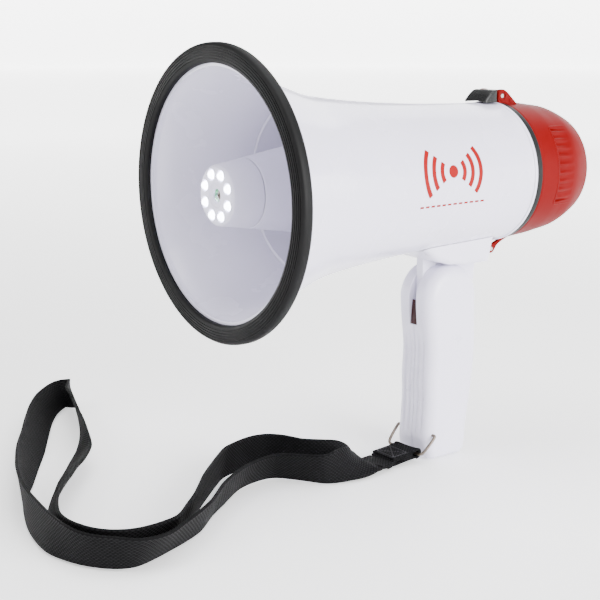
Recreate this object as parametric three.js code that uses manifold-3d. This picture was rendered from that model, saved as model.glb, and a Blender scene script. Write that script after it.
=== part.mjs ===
// Handheld megaphone with a folding pistol handle, a hinged rear cap, a reflector cone with
// a light ring, and a webbing strap. Millimetres, +Z up. The horn axis runs along Y with the
// mouth facing -Y, and the handle stands on its foot at z = 0.
import * as THREE from 'three';
import { mergeVertices } from 'three/addons/utils/BufferGeometryUtils.js';
import Module from 'manifold-3d';

const wasm = await Module();
wasm.setup();

// Driving dimensions. Inside the megaphone group, y = 0 is the front of the rim and z = 0 the
// horn axis.
const AXIS_HEIGHT = 173;
const LENGTH = 262;
const RIM_RADIUS = 80;
const WALL = 1.8;
const GAP = 0.3;
const ROUND = 40;

const BARREL_END = 202;
const BARREL_RADIUS = 41.8;
const CAP_START = 205.3;
const CAP_PANEL = 254;
const PANEL_RADIUS = 27.5;

const CAP_HINGE = { y: 199, z: -47.5, knuckle: 3.2, pin: 1.25 };
const LATCH_PIVOT = { y: 204, z: 46, knuckle: 3.6, pin: 1.2 };
const LATCH_HALF_WIDTH = 9;

const HUB = { y: 162.5, z: -73.5, radius: 20.5, pin: 2.5 };
const HANDLE_HALF_WIDTH = 15.5;
const HANDLE_EDGE = 5;
const SLOT_HALF_WIDTH = 3.3;
const SLOT_BOTTOM = -89.2;
const TONGUE = { half: 3, radius: 15, front: -15, sweep: 32.6 };
const TRIGGER_PIVOT = { y: 150, z: -97, boss: 3, pin: 1.2 };
const HANDLE_SCREWS = [[168, -112], [161, -139], [159, -163]];

const BAIL_PIVOT = { y: 147.5, z: -156.5 };
const BAIL_BAR = { y: 138, z: -167 };
const BAIL_WIRE = 0.9;

const CELL = { radius: 13, length: 49.8, offset: 14.2, start: 155.2 };
const LED_RING = 11.7;
const LED_COUNT = 8;
const LED_RADIUS = 2.45;

const MIC = { z: 11, radius: 10.5 };
const KNOB = { z: -14, radius: 7.5 };
const SWITCH = { x: 15, z: -9, travel: 4 };

// The strap: flat webbing that stands on its lower edge. Each point of its route is x, y, and how
// far the upper edge leans out to the right of the way it runs; a lean of its whole width is flat.
// It leaves the sewn tab, runs out to its far bight and comes back under its own start.
const WEBBING = { width: 20, thickness: 1.4, clearance: 0.9, stepsPerPoint: 3 };
const STACKED = [2.4, 2.4, 2.4, 1];
const STRAP_ROUTE = [
  [3.6, 116.6, 20], [4.2, 112, 20], [5, 106.4, 20], [6.5, 101.5, 18.5], [8, 96, 16], [11, 85, 8],
  [12, 75, 0], [10.6, 66.4, -6.2],
  [3, 60.8, -7.6], [-7.2, 53.4, -9], [-12.5, 47.8, -10], [-12.2, 37.1, -10], [-7.9, 24.4, -9.5],
  [4.9, 5.1, -7.2], [15.8, -9.8, -7.2], [31.2, -26.8, -7.8], [39, -39.9, -9],
  [45.8, -54.1, -10.4], [50.5, -65.3, -11.4], [52.9, -79, -9.7], [47.8, -88.6, -6.4],
  [39.6, -96.3, -5.7], [30.8, -100.8, -4], [17, -103.5, 0], [5, -104, 3.3], [-16.7, -101, 2.9],
  [-38, -96, 0], [-66.8, -85.5, -3.4], [-87.2, -74.3, -8], [-116.2, -58.1, -12],
  [-141.5, -42.7, -13.5], [-175.8, -22.9, -14], [-211, 0.9, -13], [-227.5, 21.5, -12],
  [-215.5, 22, 6], [-205.9, 17.3, 7.6], [-186.4, 10.8, 7], [-167.1, 1.9, 4.7],
  [-146.3, -7.5, 1.1], [-129.9, -15.6, -3.6], [-115.2, -23.6, -8.9], [-101.4, -31.2, -14],
  [-88.3, -41, -14.5], [-76.9, -50.2, -14.2], [-65.4, -58.9, -12.6], [-52.6, -68.2, -11.5],
  [-26.5, -86, -7], [-1, -97.3, -3], [9, -98.8, 0], [18.9, -98, 2], [27.5, -95.6, 3],
  [33.8, -92.4, 4], [39, -87.5, 5], [43, -79.7, 6], [43.5, -71, 7], [41.7, -59, 7.5],
  [38.6, -51.5, 8], [30.3, -41.3, 7], [21.2, -29.7, 5], [0.8, -10.3, 3.5], [-13.9, 5.2, 3.2],
  [-23.8, 16, 3.1], [-32.7, 26.8, 3], [-36.7, 36.5, 2.7], [-40.5, 50, 3], [-37.5, 61.5, 2],
  [-28, 68.3, 1], [-17, 72, 0], [-8, 80, -5], [-4, 88, -10], [-2, 97, -16], [-1.5, 101.5, -18.5],
  [-1, 106.4, -20], [0, 112, -20], [0.6, 116.6, -20],
];

// Colours, roughness and metalness.
const finish = (color, roughness, metalness = 0) => ({ color, roughness, metalness });
const WHITE = finish(0xe6e4ee, 0.28);
const HANDLE_WHITE = finish(0xeeedf4, 0.35);
const BELL_WHITE = finish(0xd8d6e2, 0.4);
const RED = finish(0xc8282b, 0.38);
const TRIGGER_RED = finish(0x7a1420, 0.45);
const RUBBER = finish(0x26272a, 0.75);
const BLACK = finish(0x1d1e20, 0.45);
const STEEL = finish(0xb9b6b2, 0.25, 1);
const BRASS = finish(0xc9a45c, 0.35, 1);
const FERRITE = finish(0x35363a, 0.8);
const BOARD = finish(0x1e6b3c, 0.55);
const AMBER = finish(0xc98a3a, 0.5);
const LENS = finish(0xf7f8ff, 0.1);
const GREY = finish(0x8d8782, 0.55);
const CELL_SLEEVE = finish(0x3a4a63, 0.4);
const BLACK_FABRIC = finish(0x1b1b1d, 0.85);

// Solid helpers.
function solid(geometry) {
  const bare = geometry.index ? geometry.toNonIndexed() : geometry.clone();
  bare.deleteAttribute('normal');
  bare.deleteAttribute('uv');
  const merged = mergeVertices(bare, 1e-4);
  return new wasm.Manifold(new wasm.Mesh({
    numProp: 3,
    vertProperties: new Float32Array(merged.attributes.position.array),
    triVerts: new Uint32Array(merged.index.array),
  }));
}

function shape(manifold) {
  const mesh = manifold.getMesh();
  const geometry = new THREE.BufferGeometry();
  geometry.setAttribute('position', new THREE.BufferAttribute(mesh.vertProperties, 3));
  geometry.setIndex(new THREE.BufferAttribute(mesh.triVerts, 1));
  const flat = geometry.toNonIndexed();
  flat.computeVertexNormals();
  return flat;
}

const union = (first, ...others) => others.reduce((sum, other) => sum.add(other), first);
const cut = (body, ...tools) => tools.reduce((left, tool) => left.subtract(tool), body);

// A body of revolution about the Y axis from [radius, y] points; a ring's profile is closed.
function lathe(points, segments = ROUND) {
  const profile = points.map(([radius, y]) => new THREE.Vector2(radius, y));
  const closesItself = points[0][0] > 0;
  if (closesItself) profile.push(profile[0].clone());
  const geometry = new THREE.LatheGeometry(profile, segments);
  const turned = solid(geometry);
  return turned.volume() < 0 ? solid(new THREE.LatheGeometry(profile.reverse(), segments)) : turned;
}

function box([x0, x1], [y0, y1], [z0, z1]) {
  const geometry = new THREE.BoxGeometry(x1 - x0, y1 - y0, z1 - z0);
  geometry.translate((x0 + x1) / 2, (y0 + y1) / 2, (z0 + z1) / 2);
  return solid(geometry);
}

function rodX(radius, [x0, x1], y, z, segments = 20) {
  const geometry = new THREE.CylinderGeometry(radius, radius, x1 - x0, segments);
  geometry.rotateZ(Math.PI / 2);
  geometry.translate((x0 + x1) / 2, y, z);
  return solid(geometry);
}

function rodY(radius, [y0, y1], x, z, segments = 20) {
  const geometry = new THREE.CylinderGeometry(radius, radius, y1 - y0, segments);
  geometry.translate(x, (y0 + y1) / 2, z);
  return solid(geometry);
}

// Extrudes an outline drawn in the YZ plane along X.
function slab(outline, [x0, x1], bevel = 0, offset = 0) {
  const flat = outline instanceof THREE.Shape
    ? outline
    : new THREE.Shape(outline.map(([y, z]) => new THREE.Vector2(y, z)));
  const geometry = new THREE.ExtrudeGeometry(flat, {
    depth: x1 - x0 - 2 * bevel,
    bevelEnabled: bevel > 0 || offset !== 0,
    bevelThickness: bevel,
    bevelSize: bevel,
    bevelOffset: offset - bevel,
    bevelSegments: 2,
    curveSegments: 4,
  });
  geometry.translate(0, 0, x0 + bevel);
  const toYZ = new THREE.Matrix4().makeBasis(
    new THREE.Vector3(0, 1, 0), new THREE.Vector3(0, 0, 1), new THREE.Vector3(1, 0, 0));
  geometry.applyMatrix4(toYZ);
  return solid(geometry);
}

// A round wire or tube through the given points.
function tube(points, radius, steps, sides) {
  const route = new THREE.CatmullRomCurve3(points, false, 'centripetal');
  const section = new THREE.Shape();
  for (let i = 0; i < sides; i += 1) {
    const angle = (2 * Math.PI * i) / sides;
    const corner = [radius * Math.cos(angle), radius * Math.sin(angle)];
    if (i === 0) section.moveTo(...corner);
    else section.lineTo(...corner);
  }
  return new THREE.ExtrudeGeometry(section, { steps, extrudePath: route, bevelEnabled: false });
}

// Groups: one for each moving body, all inside the megaphone's own group.
const group = new THREE.Group();
const megaphone = new THREE.Group();
megaphone.position.set(0, -LENGTH / 2, AXIS_HEIGHT);
group.add(megaphone);

function body(position = [0, 0, 0]) {
  const holder = new THREE.Group();
  holder.position.set(...position);
  megaphone.add(holder);
  return holder;
}

const housing = body();
const cap = body();
const handle = body();
const strap = body([0, 0, -AXIS_HEIGHT]);

function piece(parent, name, geometry, look, position = [0, 0, 0]) {
  const form = geometry instanceof THREE.BufferGeometry ? geometry : shape(geometry);
  const mesh = new THREE.Mesh(form, new THREE.MeshStandardMaterial(look));
  mesh.name = name;
  mesh.position.set(...position);
  parent.add(mesh);
}

// The horn and barrel: one flared shell with a flange that the rubber rim grips.
const HORN_OUTSIDE = [
  [69.4, 5.6], [66.2, 14], [62.7, 24], [57.8, 38], [52, 56], [48.2, 80], [45.3, 110], [43, 150],
  [BARREL_RADIUS + 0.2, 190], [BARREL_RADIUS, BARREL_END],
];

function hornShell() {
  const flange = [[HORN_OUTSIDE[0][0] - WALL, 3.4], [76, 3.4], [76, 5.4]];
  const inside = HORN_OUTSIDE.map(([radius, y]) => [radius - WALL, y]).reverse();
  return lathe([...flange, ...HORN_OUTSIDE, ...inside]);
}

function rimBumper() {
  return lathe([
    [69.3, 1.3], [70.6, 0.3], [73, 0], [78.4, 0.5], [RIM_RADIUS, 2.2], [RIM_RADIUS, 5.6],
    [78.6, 7.2], [74, 7.6], [70, 7.4], [70, 5.8], [76.3, 5.75], [76.3, 3.1], [69.3, 3.1],
  ]);
}

function hornBulkhead() {
  return lathe([
    [47.2, 59], [49.1, 59], [48.3, 63], [44, 76], [36, 88], [24, 95], [12.2, 97], [12.2, 95],
    [23, 93], [34.5, 86], [42, 75],
  ]);
}

// The tube from the driver, with three fins that carry the reflector cone.
function throatTube() {
  const wall = lathe([[10, 34], [11.8, 34], [11.8, 98.7], [10, 98.7]], 32);
  const finHalf = 0.8;
  let tubeWithFins = wall;
  for (let i = 0; i < 3; i += 1) {
    const finOutline = [[40, 11.2], [57, 11.2], [57, 22.3], [40, 20.2]];
    const fin = slab(finOutline, [-finHalf, finHalf]).rotate([0, 120 * i, 0]);
    tubeWithFins = tubeWithFins.add(fin);
  }
  return tubeWithFins;
}

function reflectorCone() {
  return lathe([
    [1.9, 21.3], [19.2, 21.3], [23.7, 50], [26.3, 76], [24.7, 76], [22.1, 50], [17.8, 23.3],
    [4.2, 23.3], [4.2, 31], [1.9, 31],
  ], 32);
}

const ledPlaces = Array.from({ length: LED_COUNT }, (_, i) => {
  const angle = ((i + 0.5) * 2 * Math.PI) / LED_COUNT;
  return [LED_RING * Math.cos(angle), LED_RING * Math.sin(angle)];
});

function lightCap() {
  const cup = lathe([
    [3.5, 2.2], [15.4, 2.2], [16.4, 3.2], [19.1, 21], [17.5, 21], [15, 4.2], [3.5, 4.2],
  ], 32);
  const holes = ledPlaces.map(([x, z]) => rodY(LED_RADIUS + GAP, [1, 6], x, z, 12));
  return cut(cup, ...holes);
}

function lightRing() {
  piece(housing, 'light_cap', lightCap(), BELL_WHITE);
  piece(housing, 'led_board', lathe([[3.5, 8], [14, 8], [14, 9.4], [3.5, 9.4]], 32), BOARD);
  ledPlaces.forEach(([x, z], i) => {
    const led = lathe([
      [0, 0.6], [1.3, 0.9], [2.1, 1.7], [LED_RADIUS, 3], [LED_RADIUS, 7.7], [0, 7.7],
    ], 8);
    piece(housing, `led_${i + 1}`, led, LENS, [x, 0, z]);
  });
  const screw = lathe([[0, 4.4], [2.2, 4.4], [3, 5.2], [3, 6.6], [1.6, 6.6], [1.6, 29], [0, 29]], 16);
  piece(housing, 'cone_screw', screw, GREY);
}

// The compression driver behind the bulkhead.
function driver() {
  const frame = [[10.2, 99], [30, 99], [34, 101.5], [34, 110], [32, 110], [32, 103.5], [10.2, 102]];
  const dome = [
    [0, 103.8], [9, 104.8], [16, 107.2], [24, 107.2], [24, 107.9], [15.6, 107.9], [8.8, 105.6],
    [0, 104.6],
  ];
  const yoke = [[0, 110], [11.5, 110], [11.5, 122.1], [21, 122.1], [21, 124.6], [0, 124.6]];
  piece(housing, 'driver_housing', lathe(frame, 32), BLACK);
  piece(housing, 'diaphragm', lathe(dome, 24), AMBER);
  piece(housing, 'voice_coil', lathe([[12.2, 108.2], [13, 108.2], [13, 113], [12.2, 113]], 24), BRASS);
  piece(housing, 'magnet_plate', lathe([[14, 110.8], [22, 110.8], [22, 113.5], [14, 113.5]], 24), STEEL);
  piece(housing, 'magnet', lathe([[15, 113.8], [23, 113.8], [23, 121.8], [15, 121.8]], 24), FERRITE);
  piece(housing, 'magnet_yoke', lathe(yoke, 24), STEEL);
}

function amplifier() {
  piece(housing, 'amplifier_board', rodY(36, [131.5, 133], 0, 0, 32), BOARD);
  const core = box([-12, 8], [133.3, 145], [6, 24]);
  const bobbin = box([-7, 3], [133.3, 146], [9, 21]);
  piece(housing, 'output_transformer', core.add(bobbin), FERRITE);
  piece(housing, 'amplifier_capacitor', rodY(5, [133.3, 145], 16, -8, 16), BLACK);
}

// Four cells in a tray with crossed walls; contacts bridge the cells in pairs at the front.
function batteryTray() {
  const half = CELL.offset + CELL.radius + 6;
  const wall = 0.8;
  const face = CELL.start - 1.2;
  const plate = rodY(39, [face - 2, face], 0, 0, 40);
  const upright = box([-wall, wall], [face - 1, CELL.start + 45], [-half, half]);
  const level = box([-half, half], [face - 1, CELL.start + 45], [-wall, wall]);
  const notches = [-CELL.offset, CELL.offset].map(
    (x) => box([x - 5.5, x + 5.5], [face, face + 1.4], [-2, 2]));
  return cut(union(plate, upright, level), ...notches);
}

function batteries() {
  piece(housing, 'battery_tray', batteryTray(), BLACK);
  const nub = 3.3;
  const shoulder = CELL.length - 1.6;
  const profile = [
    [0, 0], [CELL.radius, 0], [CELL.radius, shoulder], [nub, shoulder], [nub, CELL.length],
    [0, CELL.length],
  ];
  const places = [[1, 1], [-1, 1], [-1, -1], [1, -1]];
  places.forEach(([right, upper], i) => {
    const spot = [right * CELL.offset, CELL.start, upper * CELL.offset];
    piece(housing, `battery_${i + 1}`, lathe(profile, 24), CELL_SLEEVE, spot);
  });
  [['left', -CELL.offset], ['right', CELL.offset]].forEach(([side, x]) => {
    const strip = box([x - 5, x + 5], [CELL.start - 0.9, CELL.start - 0.4], [-19, 19]);
    piece(housing, `front_contact_${side}`, strip, BRASS);
  });
}

// The rear cap: a domed cover with a recessed panel, grip flutes, latch lugs and hinge ears.
const CAP_OUTSIDE = [
  [42, CAP_START], [41.6, 214], [40.9, 223], [39.8, 231], [38.6, 240], [35.8, 248.5],
  [33.2, 254.5], [31, 257.4], [29.2, 258],
];
const CAP_INSIDE = [
  [24, 252], [30.2, 251.4], [33.8, 247.2], [36.5, 239.5], [37.8, 231], [38.9, 223],
  [39.6, 214], [40, CAP_START],
];

function capFlutes() {
  const pitch = 8;
  const flutes = [];
  for (const side of [0, 180]) {
    for (let i = -3; i <= 3; i += 1) {
      const flute = box([39.75, 44], [223, 238], [-1.4, 1.4]);
      flutes.push(flute.rotate([0, side + i * pitch, 0]));
    }
  }
  return flutes;
}

function latchLug(side) {
  const { y, z } = LATCH_PIVOT;
  const inner = 5.8;
  const span = side > 0 ? [inner, LATCH_HALF_WIDTH] : [-LATCH_HALF_WIDTH, -inner];
  const eye = rodX(4, span, y, z, 24);
  const web = slab([[y, z + 4], [y + 3.5, z + 2.6], [216, 41.2], [216, 37.5], [206, 38.5], [203, 43]], span);
  const barrelRoom = rodY(BARREL_RADIUS + 0.8, [190, CAP_START], 0, 0, ROUND);
  return cut(union(eye, web), barrelRoom);
}

function capHingeEar(side) {
  const { y, z, knuckle } = CAP_HINGE;
  const span = side > 0 ? [5.3, 8.3] : [-8.3, -5.3];
  const eye = rodX(knuckle, span, y, z, 24);
  const arm = slab([[y, z - knuckle], [210, -45.6], [213, -42.6], [213, -39.6], [206, -39.6],
    [205.4, -43.6], [y, z + knuckle]], span);
  return union(eye, arm);
}

function rearCap() {
  const shell = lathe([
    ...CAP_OUTSIDE, [28, 257], [PANEL_RADIUS, CAP_PANEL], [0, CAP_PANEL], [0, 252], ...CAP_INSIDE,
  ].reverse());
  const innerRoom = lathe([[0, 200], [39.4, 200], [39.4, 214], [38.6, 223], [0, 223]]);
  const fittings = union(latchLug(1), latchLug(-1), capHingeEar(1), capHingeEar(-1));
  const whole = union(shell, fittings.subtract(innerRoom));
  return cut(
    whole,
    ...capFlutes(),
    rodX(LATCH_PIVOT.pin + GAP, [-12, 12], LATCH_PIVOT.y, LATCH_PIVOT.z, 16),
    rodX(CAP_HINGE.pin + GAP, [-12, 12], CAP_HINGE.y, CAP_HINGE.z, 16),
    rodY(MIC.radius, [250, 256], 0, MIC.z, 28),
    rodY(3.6, [250, 256], 0, KNOB.z, 16),
    box([SWITCH.x - 4.6, SWITCH.x + 4.6], [250, 256], [SWITCH.z - 2.4, SWITCH.z + 2.4]),
  );
}

function micGrille() {
  const disc = rodY(MIC.radius - GAP, [252.4, 255], 0, MIC.z, 28);
  const slots = [-6, -3, 0, 3, 6].map((z) => {
    const half = Math.sqrt(70 - z * z);
    return box([-half, half], [252, 256], [MIC.z + z - 0.7, MIC.z + z + 0.7]);
  });
  return cut(disc, ...slots);
}

function contactSpring() {
  const points = [];
  const turns = 3;
  const stepsPerTurn = 8;
  for (let i = 0; i <= turns * stepsPerTurn; i += 1) {
    const part = i / (turns * stepsPerTurn);
    const angle = 2 * Math.PI * turns * part;
    const radius = 3.5 + 2.5 * part;
    points.push(new THREE.Vector3(radius * Math.cos(angle), 6 * part, radius * Math.sin(angle)));
  }
  return tube(points, 0.45, 24, 5);
}

function capInterior() {
  const { start, length, offset } = CELL;
  const near = start + length + 0.5;
  const face = 213;
  const board = cut(rodY(35, [face, face + 1.6], 0, 0, 32), rodY(12, [210, 216], 0, 0, 16));
  piece(cap, 'contact_board', board, BOARD);
  [['upper_left', -1, 1], ['lower_right', 1, -1]].forEach(([place, right, upper]) => {
    const spot = [right * offset, near + 0.5, upper * offset];
    piece(cap, `contact_spring_${place}`, contactSpring(), STEEL, spot);
  });
  [['upper_right', 1, 1], ['lower_left', -1, -1]].forEach(([place, right, upper]) => {
    const x = right * offset;
    const z = upper * offset;
    const foot = face - 0.9;
    const leaf = union(
      box([x - 4, x + 4], [foot, foot + 0.6], [z - 4, z + 6]),
      box([x - 4, x + 4], [near, foot + 0.6], [z + 5.4, z + 6]),
      box([x - 4, x + 4], [near, near + 0.6], [z - 4, z + 6]));
    piece(cap, `contact_leaf_${place}`, leaf, BRASS);
  });
  piece(cap, 'mic_grille', micGrille(), BLACK);
  piece(cap, 'mic_capsule', rodY(4.8, [243.5, 249.7], 0, MIC.z, 20), STEEL);
  const pot = lathe([[0, 243], [7, 243], [7, 251.7], [3, 251.7], [3, 258], [0, 258]], 20);
  piece(cap, 'volume_potentiometer', pot, STEEL, [0, 0, KNOB.z]);
  piece(cap, 'latch_pin', rodX(LATCH_PIVOT.pin, [-8.8, 8.8], LATCH_PIVOT.y, LATCH_PIVOT.z, 16), STEEL);
}

function volumeKnob() {
  const blank = lathe([
    [0, 258.3], [3.3, 258.3], [3.3, 254.4], [KNOB.radius, 254.4], [KNOB.radius - 0.4, LENGTH - 0.6],
    [KNOB.radius - 1.2, LENGTH], [0, LENGTH],
  ], 24);
  const flutes = Array.from({ length: 12 }, (_, i) => {
    const angle = (i * 2 * Math.PI) / 12;
    const reach = KNOB.radius + 0.5;
    return rodY(1.1, [255.6, 263], reach * Math.cos(angle), reach * Math.sin(angle), 6);
  });
  return cut(blank, ...flutes);
}

function capControls() {
  piece(cap, 'volume_knob', volumeKnob(), BLACK, [0, 0, KNOB.z]);
  const slider = union(
    box([SWITCH.x - 4.2, SWITCH.x + 0.2], [251, 256.4], [SWITCH.z - 2, SWITCH.z + 2]),
    box([SWITCH.x - 3, SWITCH.x - 1], [256, 257.2], [SWITCH.z - 2, SWITCH.z + 2]));
  piece(cap, 'light_switch', slider, BLACK);
}

// The over-centre lever on top: a hollow wedge on the pin between the cap's lugs.
function latchLever() {
  const { y, z, knuckle, pin } = LATCH_PIVOT;
  const back = 199.5;
  const outline = [[189.5, 38], [189.5, 43.4], [193.4, 47.2], [196, 49], [198, 49.6], [back, 49.6],
    [back, 38]];
  const wedge = slab(outline, [-LATCH_HALF_WIDTH, LATCH_HALF_WIDTH]);
  const hollow = box([-6.5, 6.5], [191.2, 197.6], [38, 46.4]);
  const tongue = union(
    rodX(knuckle, [-5.4, 5.4], y, z, 24),
    slab([[back - 1, 43.6], [y, z - knuckle], [y, z + knuckle], [back - 1, 49.6]], [-5.4, 5.4]));
  const barrelRoom = rodY(BARREL_RADIUS + 1.3, [180, 215], 0, 0, ROUND);
  return cut(union(wedge.subtract(hollow), tongue), barrelRoom,
    rodX(pin + GAP, [-12, 12], y, z, 16));
}

// The saddle under the barrel, with the tongue that the handle folds on.
function handleBracket() {
  const outline = [[138, -30], [188.5, -30], [187, -50], [174, -50], [160, -49], [148, -45.5],
    [138, -38]];
  const saddle = slab(outline, [-17, 17], 4, 4).intersect(box([-20, 20], [120, 192], [-60, -30]));
  const hubRoom = rodX(HUB.radius + 1.1, [-20, 20], HUB.y, HUB.z, 40);
  const { half, radius, front } = TONGUE;
  const tongueOutline = [[HUB.y + front, -44], [HUB.y + front, HUB.z]];
  for (let i = 1; i < 16; i += 1) {
    const angle = Math.PI + (i * Math.PI) / 16;
    tongueOutline.push([HUB.y + radius * Math.cos(angle), HUB.z + radius * Math.sin(angle)]);
  }
  tongueOutline.push([HUB.y - front, HUB.z], [186, -71.5], [189.6, -66], [191, -44]);
  const tongue = slab(tongueOutline, [-half, half]);
  const { y, z, knuckle } = CAP_HINGE;
  const hingeLug = union(
    rodX(knuckle, [-5, 5], y, z, 24),
    slab([[186, z - knuckle], [y, z - knuckle], [y, z + knuckle], [186, z + knuckle]], [-5, 5]));
  const barrelRoom = lathe([[0, 90], ...HORN_OUTSIDE.slice(6).map(([r, at]) => [r + GAP, at]),
    [BARREL_RADIUS + GAP, 230], [0, 230]]);
  return cut(
    union(saddle.subtract(hubRoom), tongue, hingeLug),
    barrelRoom,
    rodX(HUB.pin + GAP, [-20, 20], HUB.y, HUB.z, 20),
    rodX(CAP_HINGE.pin + GAP, [-20, 20], y, z, 16));
}

// The handle's side outline, from the round head down to the foot.
function handleOutline() {
  const { y, z, radius } = HUB;
  const outline = new THREE.Shape();
  outline.moveTo(y - radius, z);
  outline.bezierCurveTo(142.4, -84, 143.4, -90, 144.4, -99);
  outline.bezierCurveTo(145.6, -110, 143.6, -116, 144.2, -127);
  outline.bezierCurveTo(144.8, -138, 143.6, -146, 143.2, -158);
  outline.bezierCurveTo(143, -167, 145, -173, 150, -173);
  outline.lineTo(169, -173);
  outline.bezierCurveTo(174, -173, 176, -169, 176.8, -162);
  outline.bezierCurveTo(178.4, -146, 183.6, -126, 183.6, -104);
  outline.lineTo(y + radius, z);
  outline.absarc(y, z, radius, 0, Math.PI, false);
  return outline;
}

function handleHalf(side) {
  const seam = GAP / 2;
  const inner = HANDLE_HALF_WIDTH - 2.2;
  const bound = (x0, x1) => (side > 0 ? [x0, x1] : [-x1, -x0]);
  const whole = slab(handleOutline(), [-HANDLE_HALF_WIDTH, HANDLE_HALF_WIDTH], HANDLE_EDGE);
  const hollow = slab(handleOutline(), [-inner, inner], HANDLE_EDGE - 2, -2.4);
  const cheek = rodX(18.4, bound(SLOT_HALF_WIDTH, SLOT_HALF_WIDTH + 1.8), HUB.y, HUB.z, 32);
  const bosses = HANDLE_SCREWS.map(([y, z]) => rodX(3.4, bound(seam, inner + 0.5), y, z, 12));
  const pinBosses = [
    rodX(5, bound(SLOT_HALF_WIDTH, inner + 0.5), HUB.y, HUB.z, 20),
    rodX(3, bound(5, inner + 0.5), TRIGGER_PIVOT.y, TRIGGER_PIVOT.z, 12),
  ];
  const slotTop = box([-SLOT_HALF_WIDTH, SLOT_HALF_WIDTH], [130, HUB.y], [SLOT_BOTTOM, -40]);
  const slotBack = rodX(TONGUE.sweep + 0.8, [-SLOT_HALF_WIDTH, SLOT_HALF_WIDTH], HUB.y, HUB.z, 32)
    .intersect(box([-5, 5], [HUB.y - 1, 200], [-110, -40]));
  const screwRoom = HANDLE_SCREWS.flatMap(([y, z]) => (side > 0
    ? [rodX(1.5, [-1, 10], y, z, 12)]
    : [rodX(1.5, [-20, 1], y, z, 12), rodX(2.8, [-20, -12.6], y, z, 16)]));
  const keep = box(bound(seam, 20), [120, 200], [-180, -40]);
  const filled = union(cut(whole, hollow), cheek, ...bosses, ...pinBosses).intersect(whole);
  return cut(
    filled.intersect(keep),
    slotTop,
    slotBack,
    rodX(HUB.pin + GAP, [-13.2, 13.2], HUB.y, HUB.z, 20),
    rodX(TRIGGER_PIVOT.pin + GAP, [-10.2, 10.2], TRIGGER_PIVOT.y, TRIGGER_PIVOT.z, 12),
    rodX(BAIL_WIRE + GAP, bound(9.9, 20), BAIL_PIVOT.y, BAIL_PIVOT.z, 12),
    ...screwRoom,
  );
}

function handleParts() {
  piece(handle, 'handle_left', handleHalf(-1), HANDLE_WHITE);
  piece(handle, 'handle_right', handleHalf(1), HANDLE_WHITE);
  const screw = lathe([
    [0, 0], [1.6, 0], [2.5, 0.7], [2.5, 2], [1.2, 2], [1.2, 20], [0, 21.4],
  ], 12).rotate([0, 0, -90]);
  HANDLE_SCREWS.forEach(([y, z], i) => {
    piece(handle, `handle_screw_${i + 1}`, screw, STEEL, [-14.9, y, z]);
  });
  const hubPin = rodX(HUB.pin, [-12.9, 12.9], HUB.y, HUB.z, 20);
  piece(handle, 'handle_pivot_pin', hubPin, STEEL);
  const triggerPin = rodX(TRIGGER_PIVOT.pin, [-9.9, 9.9], TRIGGER_PIVOT.y, TRIGGER_PIVOT.z, 12);
  piece(handle, 'trigger_pin', triggerPin, STEEL);
  const button = box([-1.2, 1.2], [153.7, 156.2], [-96, -93.6]);
  piece(handle, 'talk_switch', box([-3, 3], [156, 162], [-105, -92]).add(button), BLACK);
}

// The trigger sits in the slot under the tongue and turns on a pin below it.
function trigger() {
  const { y, z, boss, pin } = TRIGGER_PIVOT;
  const outline = [[143.7, -88.8], [146.2, -81], [147.6, -81], [149.8, -88], [153, -93.4],
    [y + boss, z], [y, z - boss], [147.2, z], [147.2, -88.8]];
  const lever = union(slab(outline, [-2.8, 2.8]), rodX(boss - 0.2, [-2.8, 2.8], y, z, 16));
  return cut(lever, rodX(pin + GAP, [-5, 5], y, z, 12));
}

// The wire bail that carries the strap: its ends turn into holes in the handle's sides.
function bail() {
  const side = HANDLE_HALF_WIDTH + BAIL_WIRE + 0.5;
  const halfRoute = [
    [10.4, BAIL_PIVOT.y, BAIL_PIVOT.z], [14, BAIL_PIVOT.y, BAIL_PIVOT.z],
    [side - 0.4, BAIL_PIVOT.y - 0.2, BAIL_PIVOT.z - 0.3],
    [side, BAIL_PIVOT.y - 1.6, BAIL_PIVOT.z - 1.9],
    [side - 0.8, BAIL_BAR.y + 2.6, BAIL_BAR.z + 2.9],
    [side - 2, BAIL_BAR.y + 0.4, BAIL_BAR.z + 0.4],
    [side - 4.2, BAIL_BAR.y, BAIL_BAR.z],
    [5, BAIL_BAR.y, BAIL_BAR.z],
  ];
  const near = halfRoute.map(([x, y, z]) => new THREE.Vector3(x, y, z));
  const far = halfRoute.map(([x, y, z]) => new THREE.Vector3(-x, y, z)).reverse();
  return tube([...near, ...far], BAIL_WIRE, 36, 8);
}

// The strap: a sewn tab folded round the bail's bar, and the webbing loop on the floor.
function strapTab() {
  const height = AXIS_HEIGHT + BAIL_BAR.z;
  const eye = rodX(3.4, [-9, 9], BAIL_BAR.y, height, 16);
  const fold = slab([[119, 0.5], [BAIL_BAR.y, height - 3.4], [BAIL_BAR.y, height + 3.4], [119, 7]],
    [-8, 12]);
  return cut(union(eye, fold), rodX(BAIL_WIRE + GAP, [-20, 20], BAIL_BAR.y, height, 12));
}

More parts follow.
